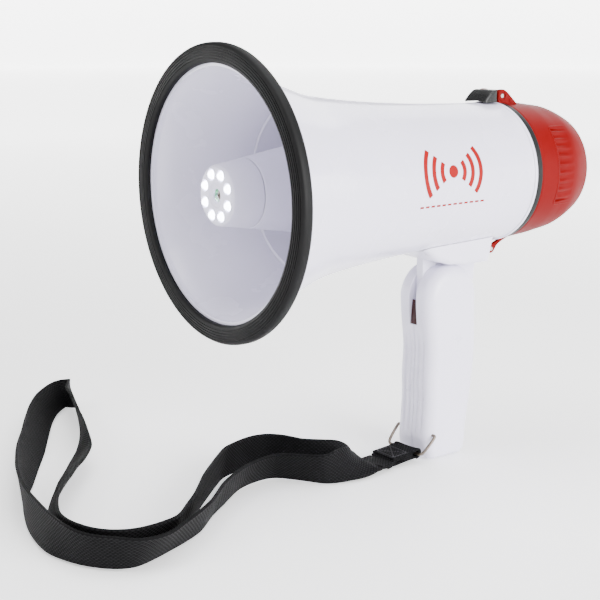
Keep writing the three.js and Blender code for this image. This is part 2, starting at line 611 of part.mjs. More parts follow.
function strapLoop() {
  const { width, thickness, clearance, stepsPerPoint } = WEBBING;
  const half = width / 2;
  const centre = new THREE.CatmullRomCurve3(STRAP_ROUTE.map(([x, y, lean], i) => {
    const rise = Math.sqrt(half * half - (lean / 2) ** 2);
    const flatness = Math.abs(lean) / width;
    return new THREE.Vector3(x, y, clearance + rise + (thickness / 2) * flatness + (STACKED[i] ?? 0));
  }), false, 'centripetal');
  const steps = (STRAP_ROUTE.length - 1) * stepsPerPoint;
  const corners = [];
  for (let i = 0; i <= steps; i += 1) {
    const place = i / stepsPerPoint;
    const before = Math.min(Math.floor(place), STRAP_ROUTE.length - 2);
    const lean = THREE.MathUtils.lerp(
      STRAP_ROUTE[before][2], STRAP_ROUTE[before + 1][2], place - before);
    const point = centre.getPoint(i / steps);
    const along = centre.getTangent(i / steps);
    const side = new THREE.Vector3(along.y, -along.x, 0).normalize();
    const rise = Math.sqrt(half * half - (lean / 2) ** 2);
    const across = side.multiplyScalar(lean / 2).setZ(rise);
    across.addScaledVector(along, -across.dot(along)).setLength(half);
    const through = along.clone().cross(across).setLength(thickness / 2);
    for (const [a, b] of [[1, 1], [-1, 1], [-1, -1], [1, -1]]) {
      corners.push(point.clone().addScaledVector(across, a).addScaledVector(through, b));
    }
  }
  const faces = [0, 2, 1, 0, 3, 2];
  for (let i = 0; i < steps; i += 1) {
    for (let k = 0; k < 4; k += 1) {
      const [a, b] = [4 * i + k, 4 * i + ((k + 1) % 4)];
      faces.push(a, b, b + 4, a, b + 4, a + 4);
    }
  }
  const last = 4 * steps;
  faces.push(last, last + 1, last + 2, last, last + 2, last + 3);
  const geometry = new THREE.BufferGeometry().setFromPoints(corners);
  geometry.setIndex(faces);
  const ribbon = solid(geometry);
  if (ribbon.volume() > 0) return ribbon;
  geometry.setIndex(faces.reverse());
  return solid(geometry);
}

piece(housing, 'horn_shell', hornShell(), WHITE);
piece(housing, 'rim_bumper', rimBumper(), RUBBER);
piece(housing, 'seal_ring', lathe([[38, 202.3], [42.2, 202.3], [42.2, 205], [38, 205]]), RUBBER);
piece(housing, 'horn_bulkhead', hornBulkhead(), BELL_WHITE);
piece(housing, 'throat_tube', throatTube(), BELL_WHITE);
piece(housing, 'reflector_cone', reflectorCone(), BELL_WHITE);
lightRing();
driver();
amplifier();
batteries();
piece(housing, 'handle_bracket', handleBracket(), HANDLE_WHITE);
piece(housing, 'cap_hinge_pin', rodX(CAP_HINGE.pin, [-8.2, 8.2], CAP_HINGE.y, CAP_HINGE.z, 16), STEEL);

piece(cap, 'rear_cap', rearCap(), RED);
capInterior();
capControls();
piece(cap, 'latch_lever', latchLever(), BLACK);

handleParts();
piece(handle, 'trigger', trigger(), TRIGGER_RED);
piece(handle, 'bail', bail(), STEEL);

piece(strap, 'strap_tab', strapTab(), BLACK_FABRIC);
piece(strap, 'strap_loop', strapLoop(), BLACK_FABRIC);

export default group;
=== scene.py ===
"""Handheld megaphone: materials, finer shapes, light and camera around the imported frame.

Blender units are metres. Shapes are drawn in the horn's own frame, in millimetres: y = 0 is
the front of the rim and z = 0 the horn axis. at() brings a point into the row frame.
"""
import math

import bmesh
import bpy
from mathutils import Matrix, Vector, noise


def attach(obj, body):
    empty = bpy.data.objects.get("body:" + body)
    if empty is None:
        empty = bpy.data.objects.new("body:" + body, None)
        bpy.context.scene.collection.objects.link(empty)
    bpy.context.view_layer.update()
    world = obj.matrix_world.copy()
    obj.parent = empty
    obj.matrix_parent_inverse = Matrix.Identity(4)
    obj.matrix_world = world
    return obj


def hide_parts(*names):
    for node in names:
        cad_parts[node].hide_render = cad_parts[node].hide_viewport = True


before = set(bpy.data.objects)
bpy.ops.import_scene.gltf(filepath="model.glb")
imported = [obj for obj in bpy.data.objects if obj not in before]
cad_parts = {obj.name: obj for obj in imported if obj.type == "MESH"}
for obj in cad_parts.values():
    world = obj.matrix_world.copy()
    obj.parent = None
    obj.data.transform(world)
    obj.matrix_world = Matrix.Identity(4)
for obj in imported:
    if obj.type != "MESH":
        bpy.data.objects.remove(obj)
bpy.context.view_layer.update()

MM = 0.001
AXIS_HEIGHT = 173
HALF_LENGTH = 131
CELL_FRONT, CELL_LENGTH = 155.2, 49.8
ROUND = 192  # sides of a turned shape


def at(x, y, z):
    return Vector((x * MM, (y - HALF_LENGTH) * MM, (z + AXIS_HEIGHT) * MM))


def placed(name, data):
    obj = bpy.data.objects.new(name, data)
    bpy.context.collection.objects.link(obj)
    return obj


# ---- camera

CAMERA_SPOT = (0.58613, -0.50952, 0.26427)
CAMERA_AZIMUTH = 53.337
CAMERA_ELEVATION = 11.951
LENS = 79.56


def make_camera():
    azimuth, elevation = math.radians(CAMERA_AZIMUTH), math.radians(CAMERA_ELEVATION)
    back = Vector((
        math.sin(azimuth) * math.cos(elevation),
        -math.cos(azimuth) * math.cos(elevation),
        math.sin(elevation),
    ))
    data = bpy.data.cameras.new("camera")
    data.lens = LENS
    data.sensor_width = 36
    data.clip_start = 0.01
    camera = placed("camera", data)
    camera.location = CAMERA_SPOT
    camera.rotation_mode = "QUATERNION"
    camera.rotation_quaternion = (-back).to_track_quat("-Z", "Y")
    bpy.context.scene.camera = camera


make_camera()

# ---- materials


class Nodes:
    """A material's node tree, with short calls for the nodes used here."""

    def __init__(self, name):
        self.material = bpy.data.materials.new(name)
        self.material.use_nodes = True
        self.tree = self.material.node_tree
        self.shader = self.tree.nodes["Principled BSDF"]

    def add(self, kind, links=(), **settings):
        node = self.tree.nodes.new("ShaderNode" + kind)
        for key, value in settings.items():
            if hasattr(node, key):
                setattr(node, key, value)
            else:
                node.inputs[key.replace("_", " ")].default_value = value
        for socket, source in dict(links).items():
            self.link(source, node.inputs[socket])
        return node

    def link(self, source, target):
        if isinstance(source, bpy.types.Node):
            source = next(s for s in source.outputs if s.enabled)
        self.tree.links.new(source, target)

    def give(self, socket, value):
        """Links a node or a socket to this socket, or sets a constant on it."""
        if isinstance(value, (bpy.types.Node, bpy.types.NodeSocket)):
            self.link(value, socket)
        elif value is not None:
            socket.default_value = value

    def finish(self, **values):
        """Gives the shader's own sockets their values, and returns the material."""
        for key, value in values.items():
            self.give(self.shader.inputs[key.replace("_", " ")], value)
        return self.material

    def math(self, operation, first, second=None):
        node = self.tree.nodes.new("ShaderNodeMath")
        node.operation = operation
        self.give(node.inputs[0], first)
        self.give(node.inputs[1], second)
        return node

    def times(self, first, second):
        return self.math("MULTIPLY", first, second)

    def remap(self, source, start, end, low, high):
        return self.add("MapRange", {"Value": source}, From_Min=start, From_Max=end,
                        To_Min=low, To_Max=high)

    def place(self):
        return self.add("TexCoord").outputs["Object"]

    def noise(self, scale, detail=3.0, where=None):
        return self.add("TexNoise", {"Vector": where or self.place()}, Scale=scale, Detail=detail)

    def ramp(self, source, stops):
        """A colour ramp through (position, colour) stops; a number is a grey."""
        node = self.tree.nodes.new("ShaderNodeValToRGB")
        self.link(source, node.inputs["Fac"])
        elements = node.color_ramp.elements
        while len(elements) < len(stops):
            elements.new(0.5)
        for element, (position, color) in zip(elements, stops):
            element.position = position
            element.color = (*(color if isinstance(color, tuple) else (color,) * 3), 1)
        return node

    def mix(self, share, first, second):
        node = self.tree.nodes.new("ShaderNodeMix")
        node.data_type = "RGBA"
        for index, value in ((0, share), (6, first), (7, second)):  # factor, A and B as colours
            self.give(node.inputs[index], (*value, 1) if isinstance(value, tuple) else value)
        return node.outputs[2]

    def bump(self, height, distance, strength=1.0, under=None):
        links = {"Height": height}
        if under is not None:
            links["Normal"] = under
        return self.add("Bump", links, Strength=strength, Distance=distance)


def srgb(red, green, blue):
    def linear(value):
        value /= 255
        return value / 12.92 if value <= 0.04045 else ((value + 0.055) / 1.055) ** 2.4

    return (linear(red), linear(green), linear(blue))


def scaled(color, factor):
    return tuple(min(1.0, channel * factor) for channel in color)


def plastic(name, color, roughness, grain=900, depth=0.02, mottle=0.03, coat=0.0,
            edge=1.12, specular=0.5):
    """Moulded plastic: faint colour drift, fine surface grain, uneven gloss, rubbed edges."""
    nodes, color = Nodes(name), srgb(*color)
    drift = nodes.ramp(nodes.noise(22, 2), [
        (0.3, scaled(color, 1 - mottle)), (0.7, scaled(color, 1 + mottle))])
    edges = nodes.add("NewGeometry").outputs["Pointiness"]
    rubbed = nodes.ramp(edges, [(0.53, 0), (0.62, 1)])
    patches = nodes.ramp(nodes.noise(160, 4), [(0.42, 0), (0.66, 1)])
    share = nodes.times(nodes.times(rubbed, patches), 0.55)
    smudge = nodes.remap(nodes.noise(35, 5), 0.3, 0.7, roughness - 0.05, roughness + 0.07)
    gentle_wave = nodes.bump(nodes.noise(28, 1), 0.0006, 0.12)
    return nodes.finish(
        Base_Color=nodes.mix(share, drift, scaled(color, edge)), Roughness=smudge,
        Normal=nodes.bump(nodes.noise(grain, 2), depth * MM, 0.6, gentle_wave),
        Coat_Weight=coat, Coat_Roughness=0.08, Specular_IOR_Level=specular)


def metal(name, color, roughness, grain=600, stretch=(1, 1, 1), dull=0.75):
    """Drawn or plated metal: brushed grain, dull patches, uneven polish."""
    nodes, color = Nodes(name), srgb(*color)
    where = nodes.add("Mapping", {"Vector": nodes.place()}, Scale=stretch)
    brushed = nodes.noise(grain, 3, where.outputs[0])
    tarnish = nodes.ramp(nodes.noise(90, 4), [(0.35, scaled(color, dull)), (0.65, color)])
    polish = nodes.remap(brushed, 0, 1, roughness - 0.08, roughness + 0.16)
    return nodes.finish(Base_Color=tarnish, Roughness=polish, Metallic=1,
                        Normal=nodes.bump(brushed, 0.02 * MM, 0.5))


def circuit_board(name):
    """Green solder mask with copper tracks and plated dots."""
    nodes = Nodes(name)
    place = nodes.place()
    turned = nodes.add("Mapping", {"Vector": place}, Rotation=(math.pi / 2, 0, 0))
    tracks = nodes.add("TexBrick", {"Vector": turned.outputs[0]}, Scale=90, Mortar_Size=0.035,
                       Brick_Width=0.9, Row_Height=0.34)
    track_mask = tracks.outputs["Fac"]
    pads = nodes.add("TexVoronoi", {"Vector": place}, Scale=260)
    dots = nodes.ramp(pads.outputs["Distance"], [(0.16, 1), (0.2, 0)])
    mask = nodes.mix(track_mask, srgb(24, 88, 48), srgb(54, 130, 74))
    return nodes.finish(Base_Color=nodes.mix(dots, mask, srgb(196, 198, 190)),
                        Roughness=nodes.ramp(nodes.noise(300, 2), [(0.3, 0.3), (0.7, 0.48)]),
                        Normal=nodes.bump(track_mask, 0.04 * MM, 0.6))


def lamp(name):
    """A clear lamp that glows a speckled bluish white."""
    nodes = Nodes(name)
    glow = nodes.ramp(nodes.noise(1400, 2), [
        (0.35, srgb(226, 236, 255)), (0.65, srgb(255, 255, 255))])
    return nodes.finish(Base_Color=glow, Emission_Color=glow, Emission_Strength=14,
                        Roughness=nodes.ramp(nodes.noise(700, 2), [(0.3, 0.05), (0.7, 0.16)]),
                        Coat_Weight=0.6)


def webbing(name, color, lit):
    """Plain-woven webbing: threads along the band cross over and under the ones across it."""
    nodes = Nodes(name)
    across = nodes.add("Attribute", attribute_name="weave_across").outputs["Fac"]
    along = nodes.add("Attribute", attribute_name="weave_along").outputs["Fac"]
    pitch, float_length = 1.05, 1.25  # millimetres, as the two attributes are

    def humps(value):
        return nodes.math("ABSOLUTE", nodes.math("SINE", nodes.times(value, math.pi)))

    column = nodes.math("DIVIDE", across, pitch)
    phase = nodes.times(nodes.math("FLOOR", column), 0.5)
    row = nodes.math("ADD", nodes.math("DIVIDE", along, 2 * float_length), phase)
    thread = nodes.times(nodes.math("POWER", humps(column), 0.5), humps(row))
    height = nodes.math("ADD", thread, nodes.times(nodes.noise(2600, 2), 0.22))
    worn = nodes.ramp(nodes.noise(60, 4), [(0.35, scaled(color, 0.8)), (0.7, scaled(color, 1.25))])
    # The raised thread crowns are mixed towards the lit colour: a painted highlight on the weave.
    share = nodes.times(nodes.ramp(thread, [(0.25, 0), (0.95, 1)]), 0.75)
    return nodes.finish(Base_Color=nodes.mix(share, worn, lit), Specular_IOR_Level=0.1,
                        Roughness=nodes.ramp(thread, [(0, 0.85), (1, 0.6)]),
                        Normal=nodes.bump(height, 0.4 * MM, 0.9))


def cell_wrap(name):
    """A battery's printed sleeve, with bare metal at its ends."""
    nodes = Nodes(name)
    place = nodes.place()
    along = nodes.add("SeparateXYZ", {"Vector": place}).outputs["Y"]
    front = (CELL_FRONT - HALF_LENGTH) * MM
    band = nodes.remap(along, front, front + CELL_LENGTH * MM, 0, 1)
    blue, gold, black = srgb(38, 52, 84), srgb(214, 178, 92), srgb(30, 32, 38)
    design = nodes.ramp(band, [
        (0.0, srgb(176, 176, 178)), (0.03, blue), (0.30, blue), (0.31, gold), (0.36, gold),
        (0.37, black), (0.93, black), (0.95, srgb(190, 190, 192)),
    ])
    design.color_ramp.interpolation = "CONSTANT"
    scuffs = nodes.ramp(nodes.noise(240, 5), [(0.5, 0), (0.75, 0.5)])
    return nodes.finish(Base_Color=nodes.mix(scuffs, design, srgb(120, 122, 130)), Metallic=0.35,
                        Roughness=nodes.ramp(nodes.noise(90, 3), [(0.3, 0.25), (0.7, 0.42)]),
                        Normal=nodes.bump(nodes.noise(500, 2), 0.03 * MM, 0.4))


SHELL = plastic("shell_white", (216, 213, 231), 0.24, coat=0.3, mottle=0.012, edge=1.03)
BELL = plastic("bell_white", (202, 199, 218), 0.38, mottle=0.015, edge=1.03)
HANDLE = plastic("handle_white", (220, 217, 234), 0.3, coat=0.15, mottle=0.012, edge=1.03)
# The reds and blacks are darker than the real ones, because the view transform lifts them.
CAP_RED = plastic("cap_red", (98, 2, 3), 0.5, mottle=0.04, edge=1.25, specular=0.06)
INK_RED = plastic("ink_red", (132, 2, 4), 0.45, mottle=0.04, edge=1.1, specular=0.12)
# The trigger is red plastic, its colour darkened further to the shade it sits in inside the
# handle's slot: painted shade.
SHADED_TRIGGER_RED = plastic("trigger_red", (44, 2, 8), 0.42, mottle=0.06, edge=1.4, specular=0.2)
RUBBER = plastic("rim_rubber", (8, 8, 9), 0.5, grain=1500, depth=0.05, mottle=0.12,
                 edge=2.2, specular=0.14)
SEAL = plastic("seal_grey", (14, 17, 17), 0.5, mottle=0.08, edge=1.4, specular=0.2)
BLACK = plastic("black_plastic", (12, 12, 13), 0.3, mottle=0.1, edge=1.9, specular=0.3)
DARK = plastic("dark_fitting", (22, 22, 24), 0.5, mottle=0.1, edge=1.8)
FILM = plastic("diaphragm_film", (196, 138, 66), 0.3, mottle=0.05)
FERRITE = plastic("ferrite", (52, 53, 58), 0.7, grain=2200, depth=0.06, mottle=0.12)
CORE = metal("iron_core", (96, 94, 92), 0.5, 400, (1, 12, 1))
STEEL = metal("steel", (196, 192, 188), 0.24, 900, (1, 14, 1))
WIRE = metal("bail_wire", (126, 116, 106), 0.32, 900, (1, 14, 1))
SCREW_GREY = metal("screw_grey", (150, 142, 134), 0.42, 900)
ZINC = metal("zinc", (186, 188, 192), 0.3, 700, (1, 1, 9))
BRASS = metal("brass", (204, 168, 96), 0.3, 700, (9, 1, 1))
BOARD = circuit_board("circuit_board")
LAMP = lamp("led_lens")
CELL_WRAP = cell_wrap("cell_case")
WEBBING = webbing("webbing", srgb(2, 2, 3), srgb(19, 19, 21))
STITCH = plastic("stitch_thread", (40, 40, 44), 0.7, grain=3000, depth=0.1, mottle=0.15)

# ---- mesh helpers


def add_piece(name, mesh, body, material, replaces=(), sharp=32):
    """Puts a mesh in the scene as a piece on a body, with the given material, and hides the parts
    it replaces.
    """
    mesh.shade_smooth()
    mesh.set_sharp_from_angle(angle=math.radians(sharp))
    mesh.materials.clear()
    mesh.materials.append(material)
    piece = placed(name, mesh)
    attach(piece, body)
    if replaces:
        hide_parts(*replaces)
    return piece


def facing_out(mesh, weld=True):
    bm = bmesh.new()
    bm.from_mesh(mesh)
    if weld:
        bmesh.ops.remove_doubles(bm, verts=bm.verts, dist=1e-7)
    bmesh.ops.recalc_face_normals(bm, faces=bm.faces)
    bm.to_mesh(mesh)
    bm.free()
    return mesh


def mesh_of(points, faces):
    mesh = bpy.data.meshes.new("shape")
    mesh.from_pydata([tuple(p) for p in points], [], faces)
    return facing_out(mesh)


def joined(*meshes):
    bm = bmesh.new()
    for mesh in meshes:
        bm.from_mesh(mesh)
    out = bpy.data.meshes.new("joined")
    bm.to_mesh(out)
    bm.free()
    return out


def eased(points, radius, steps=4, closed=True):
    """Rounds a polyline's corners."""
    count = len(points)
    out = []
    for i, point in enumerate(points):
        here = Vector(point)
        if not closed and i in (0, count - 1):
            out.append(tuple(here))
            continue
        before, after = Vector(points[i - 1]), Vector(points[(i + 1) % count])
        into, away = before - here, after - here
        if into.length < 1e-6 or away.length < 1e-6 or into.angle(away) > math.radians(172):
            out.append(tuple(here))
            continue
        reach = min(radius, into.length * 0.45, away.length * 0.45)
        start, end = here + into.normalized() * reach, here + away.normalized() * reach
        for k in range(steps + 1):
            t = k / steps
            out.append(tuple(start * (1 - t) ** 2 + here * 2 * t * (1 - t) + end * t * t))
    return out


def spline(points, per_span):
    """A centripetal Catmull-Rom curve through the points."""
    given = [Vector(p) for p in points]
    ends = [given[0] * 2 - given[1], *given, given[-1] * 2 - given[-2]]
    out = []
    for i in range(1, len(ends) - 2):
        p = ends[i - 1:i + 3]
        knots = [0.0]
        for a, b in zip(p, p[1:]):
            knots.append(knots[-1] + max(1e-5, (b - a).length ** 0.5))
        for k in range(per_span):
            t = knots[1] + (knots[2] - knots[1]) * k / per_span
            row = list(p)
            for level in range(1, 4):
                row = [
                    row[j] * ((knots[j + level] - t) / (knots[j + level] - knots[j]))
                    + row[j + 1] * ((t - knots[j]) / (knots[j + level] - knots[j]))
                    for j in range(4 - level)
                ]
            out.append(row[0])
    out.append(given[-1])
    return out


def turned_faces(rings, segments, closed):
    """The faces over rings of point numbers, where a ring of one point is a tip."""
    pairs = list(zip(rings, rings[1:]))
    if closed:
        pairs.append((rings[-1], rings[0]))
    faces = []
    for a, b in pairs:
        for i in range(segments):
            j = (i + 1) % segments
            corners = [a[i % len(a)], a[j % len(a)], b[j % len(b)], b[i % len(b)]]
            unique = list(dict.fromkeys(corners))
            if len(unique) > 2:
                faces.append(unique)
    return faces


def lathe(profile, segments=ROUND, x=0.0, z=0.0, push=None):
    """Turns a [radius, y] profile about the horn axis, or about a line beside it."""
    points, rings = [], []
    for radius, y in profile:
        ring = []
        for i in range(segments if radius > 1e-6 else 1):
            angle = 2 * math.pi * i / segments
            out = radius + (push(angle, y, radius) if push else 0)
            ring.append(len(points))
            points.append(at(x + out * math.cos(angle), y, z + out * math.sin(angle)))
        rings.append(ring)
    return mesh_of(points, turned_faces(rings, segments, profile[0][0] > 1e-6))


def lathe_x(profile, x, y, z, way=1, segments=40):
    """Turns a [radius, height] profile about a line along X."""
    points, rings = [], []
    for radius, height in profile:
        ring = []
        for i in range(segments if radius > 0 else 1):
            angle = 2 * math.pi * i / segments
            ring.append(len(points))
            points.append(at(x + way * height, y + radius * math.cos(angle),
                             z + radius * math.sin(angle)))
        rings.append(ring)
    first, last = rings[0], rings[-1]
    faces = turned_faces(rings, segments, len(first) > 1 and len(last) > 1)
    if len(first) == 1 and len(last) > 1:
        faces.append(tuple(last))
    return mesh_of(points, faces)


def rod_x(radius, x0, x1, y, z, count=32):
    return prism(circle(y, z, radius, count), x0, x1)


def rod_y(radius, y0, y1, x, z, count=32):
    return lathe([(0, y0), (radius, y0), (radius, y1), (0, y1)], count, x, z)


def box_mesh(xs, ys, zs, bevel=0.0):
    (y0, y1), (z0, z1) = ys, zs
    return prism([(y0, z0), (y1, z0), (y1, z1), (y0, z1)], *xs, bevel, bevel)


def layered_faces(layers, sides):
    """The faces over layers of the same number of points, closed at both ends."""
    faces = []
    for layer in range(layers - 1):
        for k in range(sides):
            a, b = layer * sides + k, layer * sides + (k + 1) % sides
            faces.append((a, b, b + sides, a + sides))
    faces.append(tuple(range(sides)))
    faces.append(tuple(range((layers - 1) * sides, layers * sides)))
    return faces


def quarter_turns(steps):
    return [math.pi / 2 * k / steps for k in range(steps + 1)]


def around(y, z, radius, angle):
    return (y + radius * math.cos(angle), z + radius * math.sin(angle))


def anticlockwise(outline):
    area = sum(a[0] * b[1] - b[0] * a[1] for a, b in zip(outline, outline[1:] + outline[:1]))
    return outline if area > 0 else outline[::-1]


def prism(outline, x0, x1, bevel=0.0, ease=0.0):
    """A plate with the given [y, z] outline from x0 to x1, its rims and corners rounded."""
    outline = anticlockwise(outline)
    turns = quarter_turns(3) if bevel else [0]
    layers = []
    for start, way in ((x0, 1), (x1, -1)):
        rim = [(start + way * bevel * (1 - math.cos(turn)), bevel * (1 - math.sin(turn)))
               for turn in turns]
        layers += rim if way > 0 else rim[::-1]
    points = []
    for x, inset in layers:
        shape = inset_outline(outline, inset)
        if ease:
            shape = eased(shape, max(0.1, ease - 0.6 * inset), 3)
        points += [at(x, y, z) for y, z in shape]
    return mesh_of(points, layered_faces(len(layers), len(points) // len(layers)))


def inset_outline(outline, inset):
    """Moves a counter-clockwise outline inwards along its corner normals."""
    if not inset:
        return outline
    count = len(outline)
    out = []
    for i, (y, z) in enumerate(outline):
        before = Vector(outline[i - 1])
        after = Vector(outline[(i + 1) % count])
        here = Vector((y, z))
        into, away = (here - before).normalized(), (after - here).normalized()
        normal = Vector((-(into + away).y, (into + away).x))
        normal.normalize()
        stretch = 1 / max(0.5, normal.dot(Vector((-away.y, away.x))))
        moved = here + normal * inset * stretch
        out.append((moved.x, moved.y))
    return out


def circle(y, z, radius, count=32):
    return [around(y, z, radius, 2 * math.pi * i / count) for i in range(count)]


def cut(mesh, *tools):
    """Takes the tools' meshes out of a mesh."""
    base = placed("base", mesh)
    helpers = [placed("tool", tool) for tool in tools]
    for helper in helpers:
        modifier = base.modifiers.new("cut", "BOOLEAN")
        modifier.operation = "DIFFERENCE"
        modifier.solver = "EXACT"
        modifier.object = helper
    graph = bpy.context.evaluated_depsgraph_get()
    result = bpy.data.meshes.new_from_object(base.evaluated_get(graph))
    for helper in (base, *helpers):
        bpy.data.objects.remove(helper)
    return result


def sweep(points, radius, sides=16):
    """A round bar along the points."""
    count = len(points)
    up = Vector((0, 0, 1))
    verts = []
    for i, point in enumerate(points):
        along = (points[min(i + 1, count - 1)] - points[max(i - 1, 0)]).normalized()
        side = along.cross(up)
        if side.length < 1e-4:
            side = Vector((1, 0, 0))
        side.normalize()
        up = side.cross(along).normalized()
        for k in range(sides):
            angle = 2 * math.pi * k / sides
            verts.append(point + side * radius * math.cos(angle) + up * radius * math.sin(angle))
    return mesh_of(verts, layered_faces(count, sides))


# ---- strap

STRAP_WIDTH = 20
STRAP_THICKNESS = 1.6
STRAP_CLEARANCE = 0.9
UNDERSIDE = 40  # added to the weave's place across the band on its lower face
STACKED = (2.4, 2.4, 2.4, 1)  # lift of the first rows, over the strap's other end
# The route of part.mjs, in metres: x, y before the shift to the row frame, and the lean.
STRAP_ROUTE = [
    (0.0036, 0.1166, 0.02), (0.0042, 0.112, 0.02), (0.005, 0.1064, 0.02),
    (0.0065, 0.1015, 0.0185), (0.008, 0.096, 0.016),
    (0.011, 0.085, 0.008), (0.012, 0.075, 0), (0.0106, 0.0664, -0.0062),
    (0.003, 0.0608, -0.0076), (-0.0072, 0.0534, -0.009), (-0.0125, 0.0478, -0.01),
    (-0.0122, 0.0371, -0.01), (-0.0079, 0.0244, -0.0095), (0.0049, 0.0051, -0.0072),
    (0.0158, -0.0098, -0.0072), (0.0312, -0.0268, -0.0078), (0.039, -0.0399, -0.009),
    (0.0458, -0.0541, -0.0104), (0.0505, -0.0653, -0.0114), (0.0529, -0.079, -0.0097),
    (0.0478, -0.0886, -0.0064), (0.0396, -0.0963, -0.0057), (0.0308, -0.1008, -0.004),
    (0.017, -0.1035, 0), (0.005, -0.104, 0.0033), (-0.0167, -0.101, 0.0029), (-0.038, -0.096, 0),
    (-0.0668, -0.0855, -0.0034), (-0.0872, -0.0743, -0.008), (-0.1162, -0.0581, -0.012),
    (-0.1415, -0.0427, -0.0135), (-0.1758, -0.0229, -0.014), (-0.211, 0.0009, -0.013),
    (-0.2275, 0.0215, -0.012), (-0.2155, 0.022, 0.006), (-0.2059, 0.0173, 0.0076),
    (-0.1864, 0.0108, 0.007), (-0.1671, 0.0019, 0.0047), (-0.1463, -0.0075, 0.0011),
    (-0.1299, -0.0156, -0.0036), (-0.1152, -0.0236, -0.0089), (-0.1014, -0.0312, -0.014),
    (-0.0883, -0.041, -0.0145), (-0.0769, -0.0502, -0.0142), (-0.0654, -0.0589, -0.0126),
    (-0.0526, -0.0682, -0.0115), (-0.0265, -0.086, -0.007), (-0.001, -0.0973, -0.003),
    (0.009, -0.0988, 0), (0.0189, -0.098, 0.002), (0.0275, -0.0956, 0.003),
    (0.0338, -0.0924, 0.004), (0.039, -0.0875, 0.005), (0.043, -0.0797, 0.006),
    (0.0435, -0.071, 0.007), (0.0417, -0.059, 0.0075), (0.0386, -0.0515, 0.008),
    (0.0303, -0.0413, 0.007), (0.0212, -0.0297, 0.005), (0.0008, -0.0103, 0.0035),
    (-0.0139, 0.0052, 0.0032), (-0.0238, 0.016, 0.0031), (-0.0327, 0.0268, 0.003),
    (-0.0367, 0.0365, 0.0027), (-0.0405, 0.05, 0.003), (-0.0375, 0.0615, 0.002),
    (-0.028, 0.0683, 0.001), (-0.017, 0.072, 0), (-0.008, 0.08, -0.005), (-0.004, 0.088, -0.01),
    (-0.002, 0.097, -0.016), (-0.0015, 0.1015, -0.0185), (-0.001, 0.1064, -0.02), (0, 0.112, -0.02),
    (0.0006, 0.1166, -0.02),
]


def ribbon(rows, width, thickness, ridge=0.12):
    """Flat webbing through (point, across) rows in metres, with its selvedges a little proud."""
    half, thick = width / 2, thickness / 2
    section = []
    for share in (-1, -0.97, -0.9, -0.82, -0.6, -0.3, 0, 0.3, 0.6, 0.82, 0.9, 0.97, 1):
        edge = abs(share) > 0.85
        bulge = thick * (0.55 if abs(share) == 1 else 1.0) + (ridge * MM if edge else 0)
        section.append((share * half, bulge))
    outline = section + [(a, -b) for a, b in reversed(section)]
    verts, across_values, along_values = [], [], []
    travelled = 0.0
    for i, (point, across) in enumerate(rows):
        before, after = rows[max(i - 1, 0)][0], rows[min(i + 1, len(rows) - 1)][0]
        if i:
            travelled += (point - rows[i - 1][0]).length
        along = (after - before).normalized()
        across = (across - along * across.dot(along)).normalized()
        through = along.cross(across).normalized()
        for a, b in outline:
            verts.append(point + across * a + through * b)
            across_values.append(a / MM + width / 2 / MM + (UNDERSIDE if b < 0 else 0))
            along_values.append(travelled / MM)
    mesh = bpy.data.meshes.new("ribbon")
    mesh.from_pydata([tuple(v) for v in verts], [], layered_faces(len(rows), len(outline)))
    for label, values in (("weave_across", across_values), ("weave_along", along_values)):
        mesh.attributes.new(label, "FLOAT", "POINT").data.foreach_set("value", values)
    return facing_out(mesh, weld=False)


def strap_rows(per_span=6):
    half = STRAP_WIDTH / 2
    centres = []
    for i, (x, y, lean) in enumerate(STRAP_ROUTE):
        lean = lean / MM
        rise = math.sqrt(max(0.0, half ** 2 - (lean / 2) ** 2))
        flatness = abs(lean) / STRAP_WIDTH
        lift = STACKED[i] if i < len(STACKED) else 0
        z = STRAP_CLEARANCE + rise + STRAP_THICKNESS / 2 * flatness + lift
        centres.append(Vector((x, y - HALF_LENGTH * MM, z * MM)))
    line = spline(centres, per_span)
    leans = spline([Vector((row[2] / MM, i * 4.0, 0)) for i, row in enumerate(STRAP_ROUTE)],
                   per_span)
    rows = []
    for i, point in enumerate(line):
        along = line[min(i + 1, len(line) - 1)] - line[max(i - 1, 0)]
        side = Vector((along.y, -along.x, 0)).normalized()
        lean = max(-STRAP_WIDTH, min(STRAP_WIDTH, leans[i].x))
        rise = math.sqrt(max(0.0, half ** 2 - (lean / 2) ** 2))
        rows.append((point, side * lean / 2 + Vector((0, 0, rise))))
    return rows


def strap():
    rows = strap_rows()
    mesh = ribbon(rows, STRAP_WIDTH * MM, STRAP_THICKNESS * MM)
    loop = add_piece("strap_webbing", mesh, "strap", WEBBING, ("strap_loop",), sharp=60)
    tab = strap_tab()


